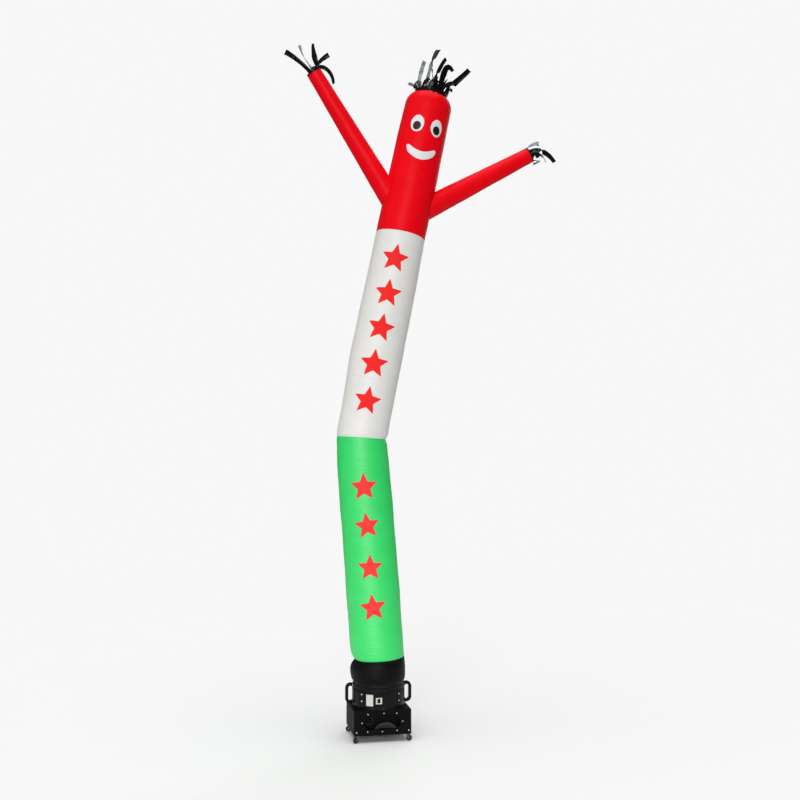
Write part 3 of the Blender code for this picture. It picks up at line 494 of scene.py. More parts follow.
def coated_cloth(name, colour, shade, roughness, gloss, crinkle, print_colour=None, **sheen):
    """Thin coated cloth: clouds in colour, short cross crinkles and a fine plain weave, with an optional print."""
    mat, tree, shader = finish_of(name, colour, roughness, Specular_IOR_Level=gloss, **sheen)
    flat = tree.nodes.new("ShaderNodeUVMap")
    flat.uv_map = "flat"

    def stretched(across, along):
        made = add_node(tree, "ShaderNodeMapping", Vector=flat.outputs["UV"], Scale=(across, along, 1.0))
        return made.outputs["Vector"]

    def weave_of(band):
        wave = add_node(tree, "ShaderNodeTexWave", Vector=stretched(95.0, 95.0), Scale=1.0)
        wave.bands_direction = band
        return wave.outputs["Fac"]

    clouds = cloudy(tree, stretched(5.0, 9.0), Scale=1.0, Detail=5.0, Roughness=0.6)
    paint = blended(tree, ranged(tree, clouds, 0.0, 1.0, 0.3, 0.6), shade, colour)
    if print_colour:
        depth, edge, matt = stored(tree, "print"), 0.0007, 0.8
        paint = blended(tree, ranged(tree, depth, 0.0, 1.0, -edge, edge), paint, print_colour)
        feed(tree, shader, Roughness=ranged(tree, depth, roughness, matt, -edge, edge))
    crinkles = cloudy(tree, stretched(7.0, 46.0), Scale=1.0, Detail=6.0, Roughness=0.62)
    folds = raised(tree, crinkles, crinkle, 0.004)
    woven = product_of(tree, weave_of("X"), weave_of("Y"))
    feed(tree, shader, Base_Color=paint, Normal=raised(tree, woven, 0.18, 0.0003, Normal=folds))
    return mat


SLEEVE_CREASES = (
    (0.060, -40, 60, 0.0030, 0.012, 0.010, -0.008),
    (0.095, 20, 70, 0.0025, 0.014, -0.012, -0.010),
    (0.130, -10, 80, 0.0030, 0.010, 0.006, 0.006),
    (0.075, 150, 70, 0.0030, 0.013, 0.010, 0.004),
    (0.120, 220, 60, 0.0025, 0.012, -0.008, 0.006),
)
black_cloth = coated_cloth("black cloth", (0.0035, 0.0035, 0.0038), (0.0025, 0.0025, 0.0028), 0.5, 0.09, 0.5)
sleeve = cloth_tube("sleeve_cloth", SLEEVE, lambda s, a, full: seam_puckers(s, a, full, 46, 0.0016, 0.4)
                    + creases(s, a, SLEEVE_CREASES))
dress(sleeve, black_cloth, "black_cloth", "sleeve")
black_thread = sewing_thread("black thread", (0.010, 0.010, 0.011))
sleeve_rows = tube_stitches("sleeve_cloth", (0.012, 0.018), (0.006,), black_thread, "black_cloth")

# Green length: the lowest coloured length, one sheet sewn to a tube up its back and to its neighbours in
# flat seams. The air holds it taut, with many short cross crinkles and four printed stars down its front.
GREEN = (
    (0.668, 0.003, 0.2170, -3.2),
    (0.706, -0.006, 0.2240, -3.6),
    (0.780, -0.015, 0.2280, -4.2),
    (0.983, -0.031, 0.2285, -4.3),
    (1.240, -0.050, 0.2295, -4.3),
    (1.500, -0.069, 0.2275, -4.3),
    (1.755, -0.089, 0.2270, -4.6),
    (2.010, -0.110, 0.2280, -4.8),
    (2.270, -0.132, 0.2240, -4.4),
    (2.430, -0.142, 0.2215, -2.5),
    (2.510, -0.1450, 0.2185, 1.2),
    (2.548, -0.1440, 0.2170, 4.0),
)
GREEN_CREASES = (
    (0.050, -35, 30, 0.0022, 0.010, 0.012, 0.010),
    (0.085, -20, 35, 0.0018, 0.009, -0.010, 0.012),
    (0.245, -15, 55, 0.0012, 0.006, 0.006, -0.006),
    (0.330, -70, 40, 0.0024, 0.008, 0.030, 0.010),
    (0.420, 35, 45, 0.0012, 0.006, -0.006, -0.004),
    (0.640, -62, 50, 0.0026, 0.006, 0.012, 0.006),
    (0.690, 10, 60, 0.0012, 0.005, 0.010, -0.004),
    (0.870, -55, 40, 0.0012, 0.006, -0.008, 0.004),
    (1.000, -5, 70, 0.0016, 0.006, 0.008, -0.006),
    (1.130, 25, 60, 0.0014, 0.005, 0.006, -0.004),
    (1.180, 60, 35, 0.0016, 0.006, -0.006, 0.004),
    (1.390, -75, 40, 0.0022, 0.007, 0.016, 0.008),
    (1.440, -15, 45, 0.0014, 0.005, 0.008, -0.004),
    (1.640, 10, 80, 0.0018, 0.006, 0.012, -0.008),
    (1.700, -20, 55, 0.0014, 0.006, -0.004, -0.006),
    (0.520, 150, 70, 0.0020, 0.007, 0.014, 0.006),
    (0.940, 200, 60, 0.0020, 0.007, -0.012, 0.006),
    (1.320, 160, 75, 0.0018, 0.007, 0.010, -0.006),
    (1.610, 130, 50, 0.0020, 0.008, -0.012, 0.006),
)
PRINT_TURN = -11.5
STAR_POINT, STAR_HOLLOW = 0.128, 0.058


def long_puckers(place, turn, length, seed):
    """The broad unevenness of taut cloth: slow swells along the tube and faint flutes round it."""
    slow = np.sin(place * 9.1 + seed) * np.sin(np.radians(turn) * 2 + seed) + np.sin(place * 17.3 + 2 * seed)
    fine = np.sin(place * 61.0 + 3.1 * np.sin(np.radians(turn) * 3 + seed)) * np.sin(np.radians(turn) * 4 + place * 5)
    return (0.0009 * slow + 0.0005 * fine) * np.clip(place / 0.08, 0, 1) * np.clip((length - place) / 0.08, 0, 1)


def star_distance(x, y, point, hollow, lean):
    """How far each place is inside a five-pointed star round (0, 0), negative outside."""
    corners = []
    for k in range(10):
        turn = math.radians(90.0 + 36.0 * k) + lean
        reach = point if k % 2 == 0 else hollow
        corners.append((reach * math.cos(turn), reach * math.sin(turn)))
    nearest = np.full(x.shape, 1e9)
    inside = np.zeros(x.shape, bool)
    for (ax, ay), (bx, by) in zip(corners, corners[1:] + corners[:1]):
        ex, ey = bx - ax, by - ay
        t = np.clip(((x - ax) * ex + (y - ay) * ey) / (ex * ex + ey * ey), 0.0, 1.0)
        nearest = np.minimum(nearest, np.hypot(x - ax - t * ex, y - ay - t * ey))
        crosses = (ay > y) != (by > y)
        with np.errstate(divide="ignore", invalid="ignore"):
            inside ^= crosses & (x < ex * (y - ay) / (ey if ey else 1e-9) + ax)
    return np.where(inside, nearest, -nearest)


def print_stars(obj, stars, radius):
    """Stores on the cloth how deep each point lies inside a printed star: distance up, size, lean."""
    mesh = obj.data
    rings = len(mesh.vertices) // AROUND
    up = np.empty(len(mesh.loops) * 2)
    mesh.uv_layers["flat"].data.foreach_get("uv", up)
    corner = np.empty(len(mesh.loops), int)
    mesh.loops.foreach_get("vertex_index", corner)
    place = np.empty(len(mesh.vertices))
    place[corner] = up[1::2]
    turn = np.tile((180.0 + 360.0 * np.arange(AROUND) / AROUND + 180.0) % 360.0 - 180.0, rings)
    across = np.radians(turn - PRINT_TURN) * radius
    depth = np.full(len(place), -1.0)
    for where, size, lean in stars:
        depth = np.maximum(depth, star_distance(across, place - where, STAR_POINT * size, STAR_HOLLOW * size, lean))
    mesh.attributes.new("print", "FLOAT", "POINT").data.foreach_set("value", depth)


INK = (0.90, 0.008, 0.006)
green_cloth = coated_cloth("green cloth", (0.010, 0.70, 0.128), (0.006, 0.66, 0.114), 0.50, 1.0, 0.9, INK)
green = cloth_tube("green_cloth_length", GREEN, lambda s, a, full: seam_puckers(s, a, full, 52, 0.0012, 1.3)
                   + creases(s, a, GREEN_CREASES + short_wrinkles(full, 120, 26, 0.0024, 0.21))
                   + long_puckers(s, a, full, 0.7))
print_stars(green, ((0.457, 0.96, 0.05), (0.792, 0.92, -0.04), (1.145, 0.92, 0.06), (1.473, 0.98, -0.03)), 0.2275)
dress(green, green_cloth, "green_cloth", "section_green")
green_rows = tube_stitches("green_cloth_length", (0.006, 0.012), (0.006, 0.012),
                           sewing_thread("green thread", (0.010, 0.42, 0.07)), "green_cloth")

# White length: the middle length, sewn like the green one. It kinks over where it meets the green, which
# leaves two long creases near its foot, and five printed stars run down its front.
WHITE = (
    (2.548, -0.1440, 0.2170, 4.0),
    (2.590, -0.1405, 0.2195, 6.6),
    (2.680, -0.1270, 0.2205, 9.6),
    (2.880, -0.0890, 0.2205, 10.4),
    (3.140, -0.0430, 0.2255, 10.6),
    (3.405, 0.0090, 0.2265, 11.2),
    (3.670, 0.0620, 0.2255, 11.5),
    (3.935, 0.1170, 0.2220, 11.3),
    (4.205, 0.1695, 0.2200, 10.9),
    (4.328, 0.1935, 0.2165, 10.6),
)
WHITE_CREASES = (
    (0.285, -12, 62, 0.0056, 0.010, -0.018, -0.020),
    (0.495, -14, 66, 0.0064, 0.010, -0.020, -0.022),
    (0.440, -40, 24, 0.0014, 0.006, 0.004, -0.004),
    (0.080, -40, 50, 0.0020, 0.012, 0.020, 0.008),
    (0.800, 20, 45, 0.0010, 0.008, -0.020, -0.008),
    (1.240, 0, 60, 0.0010, 0.009, 0.012, -0.010),
    (1.560, -20, 70, 0.0012, 0.010, -0.010, -0.010),
    (0.350, 150, 70, 0.0020, 0.008, 0.014, 0.006),
    (0.760, 200, 60, 0.0018, 0.008, -0.012, 0.006),
    (1.150, 160, 75, 0.0018, 0.008, 0.010, -0.006),
    (1.500, 130, 50, 0.0018, 0.008, -0.012, 0.006),
)
white_cloth = coated_cloth("white cloth", (0.78, 0.77, 0.745), (0.755, 0.745, 0.72), 0.45, 0.4, 0.45, INK,
                           Sheen_Weight=0.20, Sheen_Roughness=0.5)
white = cloth_tube("white_cloth_length", WHITE, lambda s, a, full: seam_puckers(s, a, full, 50, 0.0012, 2.1)
                   + creases(s, a, WHITE_CREASES + short_wrinkles(full, 60, 30, 0.0011, 0.53))
                   + long_puckers(s, a, full, 2.4) * 0.8)
print_stars(white, ((0.311, 1.0, -0.04), (0.631, 1.02, 0.05), (0.946, 1.0, -0.05), (1.251, 1.0, 0.04),
                    (1.562, 1.02, -0.03)), 0.2225)
dress(white, white_cloth, "white_cloth", "section_white")
white_thread = sewing_thread("white thread", (0.62, 0.61, 0.59))
white_rows = tube_stitches("white_cloth_length", (0.006, 0.012), (0.006, 0.012), white_thread, "white_cloth")

# Red length with the head: the top length, gathered over a dome to the round vent that lets the air out.
# It is cut and sewn like the others, with a hole on each side for an arm.
RED = (
    (4.328, 0.1935, 0.2165, 10.6),
    (4.370, 0.2020, 0.2175, 11.2),
    (4.520, 0.2350, 0.2175, 11.8),
    (4.800, 0.2950, 0.2170, 12.1),
    (5.080, 0.3535, 0.2140, 12.1),
    (5.320, 0.4050, 0.2115, 12.1),
    (5.450, 0.4350, 0.2090, 12.1),
)
VENT = Vector((0.4666, 0.0, 5.5970))
VENT_RADIUS = 0.143
DOME = ((0.092, 0.2060), (0.056, 0.1970), (0.026, 0.1800), (0.010, 0.1620), (0.0, VENT_RADIUS))
HEAD_LEAN = 12.1
head_axis = Vector((math.sin(math.radians(HEAD_LEAN)), 0.0, math.cos(math.radians(HEAD_LEAN))))
head_side = Vector((head_axis.z, 0.0, -head_axis.x))
dome_rows = []
for drop, radius in DOME:
    middle = VENT - head_axis * drop
    dome_rows.append((middle.z, middle.x, radius, HEAD_LEAN))
RED_CREASES = (
    (0.130, -30, 60, 0.0014, 0.008, 0.014, -0.008),
    (0.300, 60, 40, 0.0030, 0.010, -0.030, 0.006),
    (0.420, 70, 34, 0.0026, 0.009, 0.030, 0.006),
    (0.600, -80, 34, 0.0026, 0.010, 0.020, 0.010),
    (0.470, -20, 70, 0.0010, 0.007, -0.010, -0.008),
    (0.210, 20, 60, 0.0010, 0.007, 0.010, -0.006),
    (0.640, 30, 50, 0.0012, 0.007, 0.012, -0.008),
    (1.120, -10, 90, 0.0010, 0.010, 0.004, -0.014),
    (0.500, 160, 60, 0.0018, 0.008, 0.012, 0.006),
    (0.900, 190, 60, 0.0018, 0.008, -0.012, 0.006),
)


def head_flutes(place, turn, length, coarse=22, fine=37, depth=0.0011, middle=0.03, reach=0.05):
    """Gathers that run over the dome to the vent: two counts round it, and where they are deepest."""
    wave = np.sin(np.radians(turn) * coarse + 0.8) + 0.5 * np.sin(np.radians(turn) * fine + 2.0)
    return depth * wave * np.exp(-((length - place - middle) / reach) ** 2)


red_cloth = coated_cloth("red cloth", (0.87, 0.0018, 0.009), (0.82, 0.0014, 0.007), 0.38, 0.07, 0.55)
red = cloth_tube("red_cloth_length", RED + tuple(dome_rows),
                 lambda s, a, full: seam_puckers(s, a, full, 48, 0.0011, 0.9) + creases(s, a, RED_CREASES)
                 + head_flutes(s, a, full) + long_puckers(s, a, full, 4.0) * 0.7)
dress(red, red_cloth, "red_cloth", "body_red")
red_thread = sewing_thread("red thread", (0.48, 0.004, 0.010))
red_rows = tube_stitches("red_cloth_length", (0.006, 0.012), (0.004, 0.020), red_thread, "red_cloth")

# Arms: two tapered tubes of the same red cloth, each sewn into its hole in the body and left open at the
# hand, where the air blows out through the ribbons.
BACK = Vector((0.0, 1.0, 0.0))
ARM_RINGS, ARM_AROUND = 150, 112
# Each arm: its side, root, end, radius at both, and the seed of its wrinkles.
ARMS = (
    ("left", Vector((0.0645, 0.0, 4.725)), Vector((-0.5737, 0.0, 5.7362)), (0.095, 0.0655), 0.3),
    ("right", Vector((0.4783, 0.0, 4.6156)), Vector((1.3735, 0.0, 5.1161)), (0.098, 0.070), 2.6),
)
place_of_blower = Vector((BLOWER_X, BLOWER_Y, 0.0))
red_fine, _ = through_rows(RED)


def spoke(side, turn):
    """The direction out from an axis at this turn, from its own side towards the back."""
    return side * math.cos(turn) + BACK * math.sin(turn)


def lean_and_radius(fine, height):
    """The tube's sideways lean and its radius at this height."""
    return (float(np.interp(height, fine[:, 0], fine[:, k])) for k in (1, 2))


def inside_body(point, margin):
    """Whether a point, in the blower's own place, lies inside the red length."""
    lean, radius = lean_and_radius(red_fine, point.z)
    slope = math.cos(math.radians(HEAD_LEAN))
    return math.hypot((point.x - lean) * slope, point.y) < radius - margin


def arm_tube(name, root, end, radii, seed):
    """A tapered arm whose foot follows the body's round side, with gathers at its seam and its hand."""
    axis = (end - root).normalized()
    length = (end - root).length
    side = Vector((axis.z, 0.0, -axis.x))
    turns = [turn + math.pi / 2 for turn in round_turns(ARM_AROUND)]
    starts = []
    for turn in turns:
        low, high = -0.25, 0.6
        for _ in range(18):
            middle = (low + high) / 2
            radius = radii[0] + (radii[1] - radii[0]) * middle / length
            inside = inside_body(root + axis * middle + spoke(side, turn) * radius, 0.0012)
            low, high = (middle, high) if inside else (low, middle)
        starts.append(low)
    rows = []
    parts = np.linspace(0.0, 1.0, ARM_RINGS) ** 1.25
    for part in parts:
        ring = []
        for turn, start in zip(turns, starts):
            along = start + (length - start) * part
            from_seam, from_hand = along - start, length - along
            radius = radii[0] + (radii[1] - radii[0]) * along / length
            gather = math.sin(turn * 17 + seed) + 0.6 * math.sin(turn * 29 + 2 * seed)
            radius -= gather * (0.0014 * gathered(from_seam, 0.035) + 0.0010 * gathered(from_hand, 0.030))
            radius -= 0.0022 * math.exp(-(from_seam / 0.004) ** 2)
            wobble = noise.noise(Vector((turn * 1.1, along * 7.0, seed))) * 0.0016
            wobble += noise.noise(Vector((math.cos(turn) * 2.0, math.sin(turn) * 2.0, along * 26.0 + seed))) * 0.0009
            radius -= wobble * min(1.0, from_seam / 0.03) * min(1.0, from_hand / 0.03)
            ring.append(tuple(root + axis * along + spoke(side, turn) * radius + place_of_blower))
        rows.append(ring)
    skin_rings[name] = np.array(rows), parts * length
    return skin_of(name, np.array(rows), math.pi * (radii[0] + radii[1]), parts * length)


arm_left, arm_right = (dress(arm_tube(f"arm_{side}_cloth", *arm), red_cloth, "red_cloth", f"arm_{side}")
                       for side, *arm in ARMS)
arm_left_rows, arm_right_rows = (tube_stitches(f"arm_{side}_cloth", (0.007,), (0.012, 0.018), red_thread, "red_cloth")
                                 for side, *arm in ARMS)

# Face: two oval eyes with dark pupils and a wide smile, cut from cloth and appliqued to the head by a close
# zigzag round their edges.
EYE_TURNS, EYE_DROPS = (-25.5, 24.0), (0.334, 0.337)
EYE_HALF = 0.060, 0.077
PUPIL_HALF = 0.037, 0.041
PUPIL_DROP = 0.020
MOUTH_TURN, MOUTH_DROP = -3.0, 0.575
MOUTH_WIDTH, MOUTH_RISE, MOUTH_BAND = 0.130, 0.062, 0.037
PATCH, PATCH_GAP = 0.0012, 0.0003
WHITE_TOP, BLACK_TOP = PATCH_GAP + PATCH, 2 * (PATCH_GAP + PATCH)
TURNED_DOWN, ROLL, BEHIND = 0.15, 0.0006, 0.2
all_red_fine, _ = through_rows(RED + tuple(dome_rows))


def on_head(turn, drop, across, up, lift):
    """A point of a patch on the head's skin, pushed straight in from the front of the patch."""
    angle = math.radians(turn - 90.0)
    out, sideways = spoke(head_side, angle), spoke(head_side, angle + math.pi / 2)
    middle = VENT - head_axis * (drop - up)
    lean, radius = lean_and_radius(all_red_fine, middle.z)
    middle = middle + head_side * ((lean - middle.x) * head_side.x)
    depth = math.sqrt(max(radius ** 2 - across ** 2, 0.0))
    normal = (out * depth + sideways * across).normalized()
    return middle + sideways * across + out * depth + normal * lift + place_of_blower


def laid(turn, drop, outline, lift):
    """An outline's points on the head, at this height over its skin."""
    return [tuple(on_head(turn, drop, x, y, lift)) for x, y in outline]


def patch(name, turn, drop, outline, lift, rings=10):
    """A flat patch from its outline inwards, laid on the head with a turned-down edge."""
    outline = np.array(outline)
    centre = outline.mean(axis=0)
    points = []
    for ring in range(rings + 1):
        height = lift * (1.0 if ring else TURNED_DOWN) + (ROLL if ring == 1 else 0.0)
        points.append(laid(turn, drop, outline + (centre - outline) * (ring / rings), height))
    return skin_of(name, np.array(points), 0.4, np.linspace(0.0, 0.08, rings + 1))


def oval(half_width, half_height, sides=56):
    """An oval outline round (0, 0)."""
    return [(half_width * math.cos(turn), half_height * math.sin(turn)) for turn in round_turns(sides)]


def smile(steps=40):
    """A crescent of nearly even width whose two edges sag alike, with rounded ends."""
    upper, lower = [], []
    for k in range(steps + 1):
        u = -math.cos(math.pi * k / steps)
        full = MOUTH_BAND * (0.80 + 0.20 * math.sqrt(max(0.0, 1.0 - u * u)))
        middle = MOUTH_RISE * u * u - full
        end = min(max((abs(u) - 0.80) / 0.20, 0.0), 1.0)
        half = full * max(math.sqrt(1.0 - end * end), 0.12)
        upper.append((MOUTH_WIDTH * u, middle + half))
        lower.append((MOUTH_WIDTH * u, middle - half))
    return lower + upper[::-1]


def smile_patch(name, turn, drop, lift, steps=40, rows=8):
    """The smile as a strip of even rows between its two edges."""
    edge = np.array(smile(steps))
    lower, upper = edge[:steps + 1], edge[steps + 1:][::-1]
    points = []
    for row in range(rows + 1):
        height = lift * (TURNED_DOWN if row in (0, rows) else 1.0) + (ROLL if row in (1, rows - 1) else 0.0)
        points.append(laid(turn, drop, lower + (upper - lower) * (row / rows), height))
    return skin_of(name, np.array(points), 0.26, np.linspace(0.0, 0.07, rows + 1), closed=False)


patch_white = coated_cloth("patch white", (0.82, 0.82, 0.82), (0.79, 0.79, 0.80), 0.5, 0.3, 0.2)
patch_black = coated_cloth("patch black", (0.018, 0.012, 0.012), (0.012, 0.009, 0.009), 0.4, 0.3, 0.2)
face_pieces = []
for side, turn, drop in zip(("left", "right"), EYE_TURNS, EYE_DROPS):
    eye = patch(f"eye_{side}_patch", turn, drop, oval(*EYE_HALF), WHITE_TOP)
    pupil = patch(f"pupil_{side}_patch", turn, drop + PUPIL_DROP, oval(*PUPIL_HALF), BLACK_TOP)
    face_pieces += [dress(eye, patch_white, "white_cloth", f"eye_{side}"),
                    dress(pupil, patch_black, "black_cloth", f"pupil_{side}")]
mouth = smile_patch("mouth_patch", MOUTH_TURN, MOUTH_DROP, WHITE_TOP)
face_pieces.append(dress(mouth, patch_white, "white_cloth", "mouth"))


def edge_row(turn, drop, outline, inset, lift):
    """A closed stitch path a little inside a patch's outline, with the head's own axis behind it."""
    outline = np.array(outline)
    centre = outline.mean(axis=0)
    reach = np.hypot(*(outline - centre).T).max()
    path = laid(turn, drop, outline + (centre - outline) * inset / reach, lift)
    return path, laid(turn, drop, [centre], -BEHIND) * len(path), True


white_edges = [edge_row(turn, drop, oval(*EYE_HALF), 0.0045, WHITE_TOP) for turn, drop in zip(EYE_TURNS, EYE_DROPS)]
white_edges.append(edge_row(MOUTH_TURN, MOUTH_DROP, smile(), 0.006, WHITE_TOP))
black_edges = [edge_row(turn, drop + PUPIL_DROP, oval(*PUPIL_HALF), 0.0040, BLACK_TOP)
               for turn, drop in zip(EYE_TURNS, EYE_DROPS)]
for colour, edges, thread in (("white", white_edges, white_thread), ("black", black_edges, black_thread)):
    face_pieces.append(stitches(f"{colour}_patch_stitches", edges, thread, f"{colour}_cloth", 0.0042, 0.0016, 0.0008))

# Hair and hand ribbons: strips of thin glossy film, cut from one roll and caught in a narrow tape that is
# sewn round each opening. They stand up in the air and twist. The film's bright reflection is painted in as
# a pale colour on some strands, so one strand shows black and the next pale.
RIBBON = 0.0014
STRIP_HEIGHT, STRIP_GAP = 0.016, 0.0004
ROOT_LIFT = 0.05
TUBE_SIDES, HAND_SIDES, TAPE_SIDES = 28, 12, 96
TAPE_PROFILE = ((0.0, 0.0), (0.25, 0.0006), (0.75, 0.0006), (1.0, 0.0), (1.0, -0.002), (0.0, -0.002))
SWING_REACH, CUP, CRUMPLE = 0.16, 0.55, 0.10
SHORT_STRANDS = (
    (228, (-0.040, -0.120, 0.105), (0.010, -0.020, 0.030), 0.034, 0.038, 0.030, 60),
    (216, (-0.142, -0.080, 0.080), (-0.010, -0.020, 0.030), 0.030, 0.034, 0.030, 70),
    (252, (0.040, -0.130, 0.085), (-0.020, -0.030, 0.040), 0.034, 0.040, 0.034, 40),
    (272, (-0.010, -0.150, 0.120), (0.010, -0.020, 0.020), 0.034, 0.036, 0.040, 60),
    (296, (0.120, -0.130, 0.110), (-0.010, -0.030, 0.020), 0.034, 0.040, 0.036, 50),
    (308, (0.070, -0.120, 0.060), (0.020, -0.030, 0.060), 0.034, 0.036, 0.034, 70),
    (330, (0.176, -0.080, 0.030), (0.000, -0.030, 0.070), 0.034, 0.034, 0.034, 80),
    (355, (0.165, 0.010, 0.135), (0.010, 0.000, 0.020), 0.034, 0.034, 0.030, 90),
    (25, (0.150, 0.100, 0.095), (0.010, 0.020, 0.020), 0.034, 0.034, 0.030, 60),
    (85, (0.050, 0.150, 0.110), (0.000, 0.030, 0.030), 0.034, 0.034, 0.030, 60),
)
# By the turn of the root: strands that carry a painted reflection (a pale colour on the black film) and how
# pale it is, and those that swing round at this share of their length, by this angle.
PAINTED_REFLECTION = {205: 1.0, 175: 1.0, 240: 0.9, 216: 0.7, 128: 0.9, 150: 0.8, 100: 0.6, 252: 0.5, 255: 1.0, 14: 0.5, 117: 0.7,
        200: 0.95, 60: 0.7, 250: 0.6, 335: 1.0}
SWINGS = {240: (0.70, 150.0), 258: (0.55, 180.0), 100: (0.5, 180.0), 60: (0.6, 180.0), 250: (0.5, 180.0),
          318: (0.48, 130.0), 300: (0.14, 90.0), 14: (0.20, 80.0), 335: (0.90, 20.0)}
# Strands: turn of the root, tip (x, y, z) from the opening's middle, bow of the middle, three widths, twist.
HAIR = (
    (205, (-0.070, -0.080, 0.292), (-0.020, -0.020, 0.000), 0.034, 0.034, 0.036, 84),
    (190, (-0.156, -0.075, 0.042), (-0.018, -0.010, 0.050), 0.030, 0.026, 0.028, 50),
    (175, (-0.075, 0.020, 0.135), (-0.060, 0.030, 0.035), 0.034, 0.028, 0.024, 120),
    (240, (0.076, 0.000, 0.438), (-0.032, -0.030, 0.030), 0.040, 0.028, 0.050, 30),
    (258, (0.141, -0.010, 0.354), (-0.028, -0.050, 0.010), 0.040, 0.036, 0.034, 40),
    (285, (0.192, -0.060, 0.226), (-0.016, -0.020, 0.196), 0.040, 0.066, 0.034, 25),
    (318, (0.360, -0.010, 0.272), (-0.022, -0.010, -0.046), 0.012, 0.058, 0.044, 10),
    (345, (0.187, -0.010, 0.072), (0.030, -0.010, 0.045), 0.034, 0.028, 0.026, 90),
    (10, (0.160, 0.050, 0.150), (0.035, 0.010, 0.010), 0.034, 0.030, 0.028, 160),
    (40, (0.230, 0.120, 0.186), (-0.050, 0.010, 0.050), 0.034, 0.032, 0.034, 70),
    (70, (0.060, 0.180, 0.326), (0.020, 0.030, 0.010), 0.034, 0.030, 0.038, 110),
    (100, (-0.020, 0.215, 0.166), (0.000, 0.020, 0.090), 0.034, 0.030, 0.032, 60),
    (128, (-0.060, 0.080, 0.266), (-0.030, 0.060, 0.000), 0.034, 0.028, 0.036, 130),
    (150, (-0.175, 0.105, 0.135), (-0.010, 0.000, 0.050), 0.034, 0.028, 0.032, 80),
)
FINGERS_LEFT = (
    (210, (-0.259, -0.010, 0.167), (-0.010, -0.010, 0.020), 0.034, 0.036, 0.048, 30),
    (255, (-0.129, 0.030, 0.251), (-0.020, 0.020, -0.010), 0.024, 0.016, 0.030, 170),
    (300, (-0.018, -0.020, 0.257), (-0.014, -0.020, 0.000), 0.038, 0.052, 0.020, 25),
    (50, (0.131, 0.040, 0.191), (-0.010, 0.020, 0.010), 0.034, 0.034, 0.044, 60),
    (14, (0.170, 0.004, -0.082), (0.066, 0.004, 0.080), 0.034, 0.036, 0.030, 40),
    (117, (0.060, 0.170, 0.120), (0.000, 0.030, 0.030), 0.034, 0.030, 0.034, 90),
)
FINGERS_RIGHT = (
    (200, (0.105, -0.010, 0.114), (-0.024, -0.006, 0.012), 0.030, 0.038, 0.046, 70),
    (250, (0.243, -0.035, -0.053), (0.000, -0.030, 0.050), 0.034, 0.050, 0.034, 55),
    (290, (0.147, -0.070, -0.070), (0.010, -0.040, 0.020), 0.032, 0.030, 0.028, 100),
    (335, (0.020, -0.095, -0.100), (0.050, -0.040, -0.020), 0.030, 0.038, 0.034, 80),
    (60, (0.150, 0.120, 0.030), (0.010, 0.020, 0.030), 0.032, 0.030, 0.034, 90),
    (130, (0.140, 0.080, 0.080), (0.000, 0.050, 0.010), 0.032, 0.030, 0.034, 120),
)


def film_ribbon(name):
    """Thin black film: very glossy, creased along its length, with a painted reflection: a paler colour in patches.
    """
    mat, tree, shader = finish_of(name, (0.008, 0.009, 0.010), 0.2, Specular_IOR_Level=0.06, Coat_Weight=0.08,
                                  Coat_Roughness=0.12)
    place = add_node(tree, "ShaderNodeTexCoord").outputs["Object"]
    # The pale grey that the ramp mixes in is a painted reflection of the glossy film, in patches on chosen strands.
    painted_reflection = product_of(tree, cloudy(tree, place, Scale=26.0, Detail=4.0), stored(tree, "pale"))
    tint = add_node(tree, "ShaderNodeValToRGB", Fac=painted_reflection)
    for mark, share, colour in zip(tint.color_ramp.elements, (0.22, 0.60),
                                   ((0.004, 0.004, 0.005, 1.0), (0.36, 0.42, 0.43, 1.0))):
        mark.position, mark.color = share, colour
    creased = cloudy(tree, place, Scale=22.0, Detail=3.0)
    feed(tree, shader, Base_Color=tint.outputs["Color"], Normal=raised(tree, creased, 0.5, 0.006))
    return mat


def film_strand(bm, start, axis, across, tip, bow, widths, twist, seed, pale, swing, steps=34, cells=4):
    """One thin ribbon on a smooth curve, cupped and crumpled a little, with its painted reflection up to its swing.
    """
    # The pale layer holds the share of painted reflection at each corner.
    painted_reflection = bm.verts.layers.float["pale"]
    lift = start + axis * ROOT_LIFT
    middle = (lift + tip) / 2 + bow
    rings = []
    flat = across
    for k in range(steps + 1):
        t, before = k / steps, max(k - 1, 0) / steps
        point = start * (1 - t) ** 3 + lift * (3 * t * (1 - t) ** 2) + middle * (3 * t * t * (1 - t)) + tip * t ** 3
        ahead = ((lift - start) * (3 * (1 - t) ** 2) + (middle - lift) * (6 * t * (1 - t))
                 + (tip - middle) * (3 * t * t)).normalized()
        flat = (flat - ahead * flat.dot(ahead)).normalized()
        turned, earlier = (min(max((s - swing[0]) / SWING_REACH + 0.5, 0.0), 1.0) for s in (t, before))
        step = twist * (t ** 1.3 - before ** 1.3) + swing[1] * (turned - earlier)
        flat = Matrix.Rotation(math.radians(step), 3, ahead) @ flat
        thick = flat.cross(ahead).normalized()
        width = float(np.interp(t, (0.0, 0.5, 1.0), widths))
        front, behind = [], []
        for c in range(cells + 1):
            u = c / cells - 0.5
            cup = (0.25 - u * u) * width * CUP * math.sin(seed + t * 4.0)
            cup += noise.noise(Vector((u * 3.0, t * 9.0, seed))) * width * CRUMPLE * min(1.0, 4 * t)
            spot = point + flat * (u * width) + thick * cup * min(1.0, 3 * t)
            front.append(bm.verts.new(spot + thick * (RIBBON / 2)))
            behind.append(bm.verts.new(spot - thick * (RIBBON / 2)))
        for vert in front + behind:
            # The painted reflection fades in from the root and stops where the strand swings round.
            vert[painted_reflection] = pale * (1.0 - turned) * min(1.0, 6.0 * t)
        rings.append(front + behind[::-1])
    join_rings(bm, rings)
    bm.faces.new(rings[-1])
    bm.faces.new(rings[0][::-1])


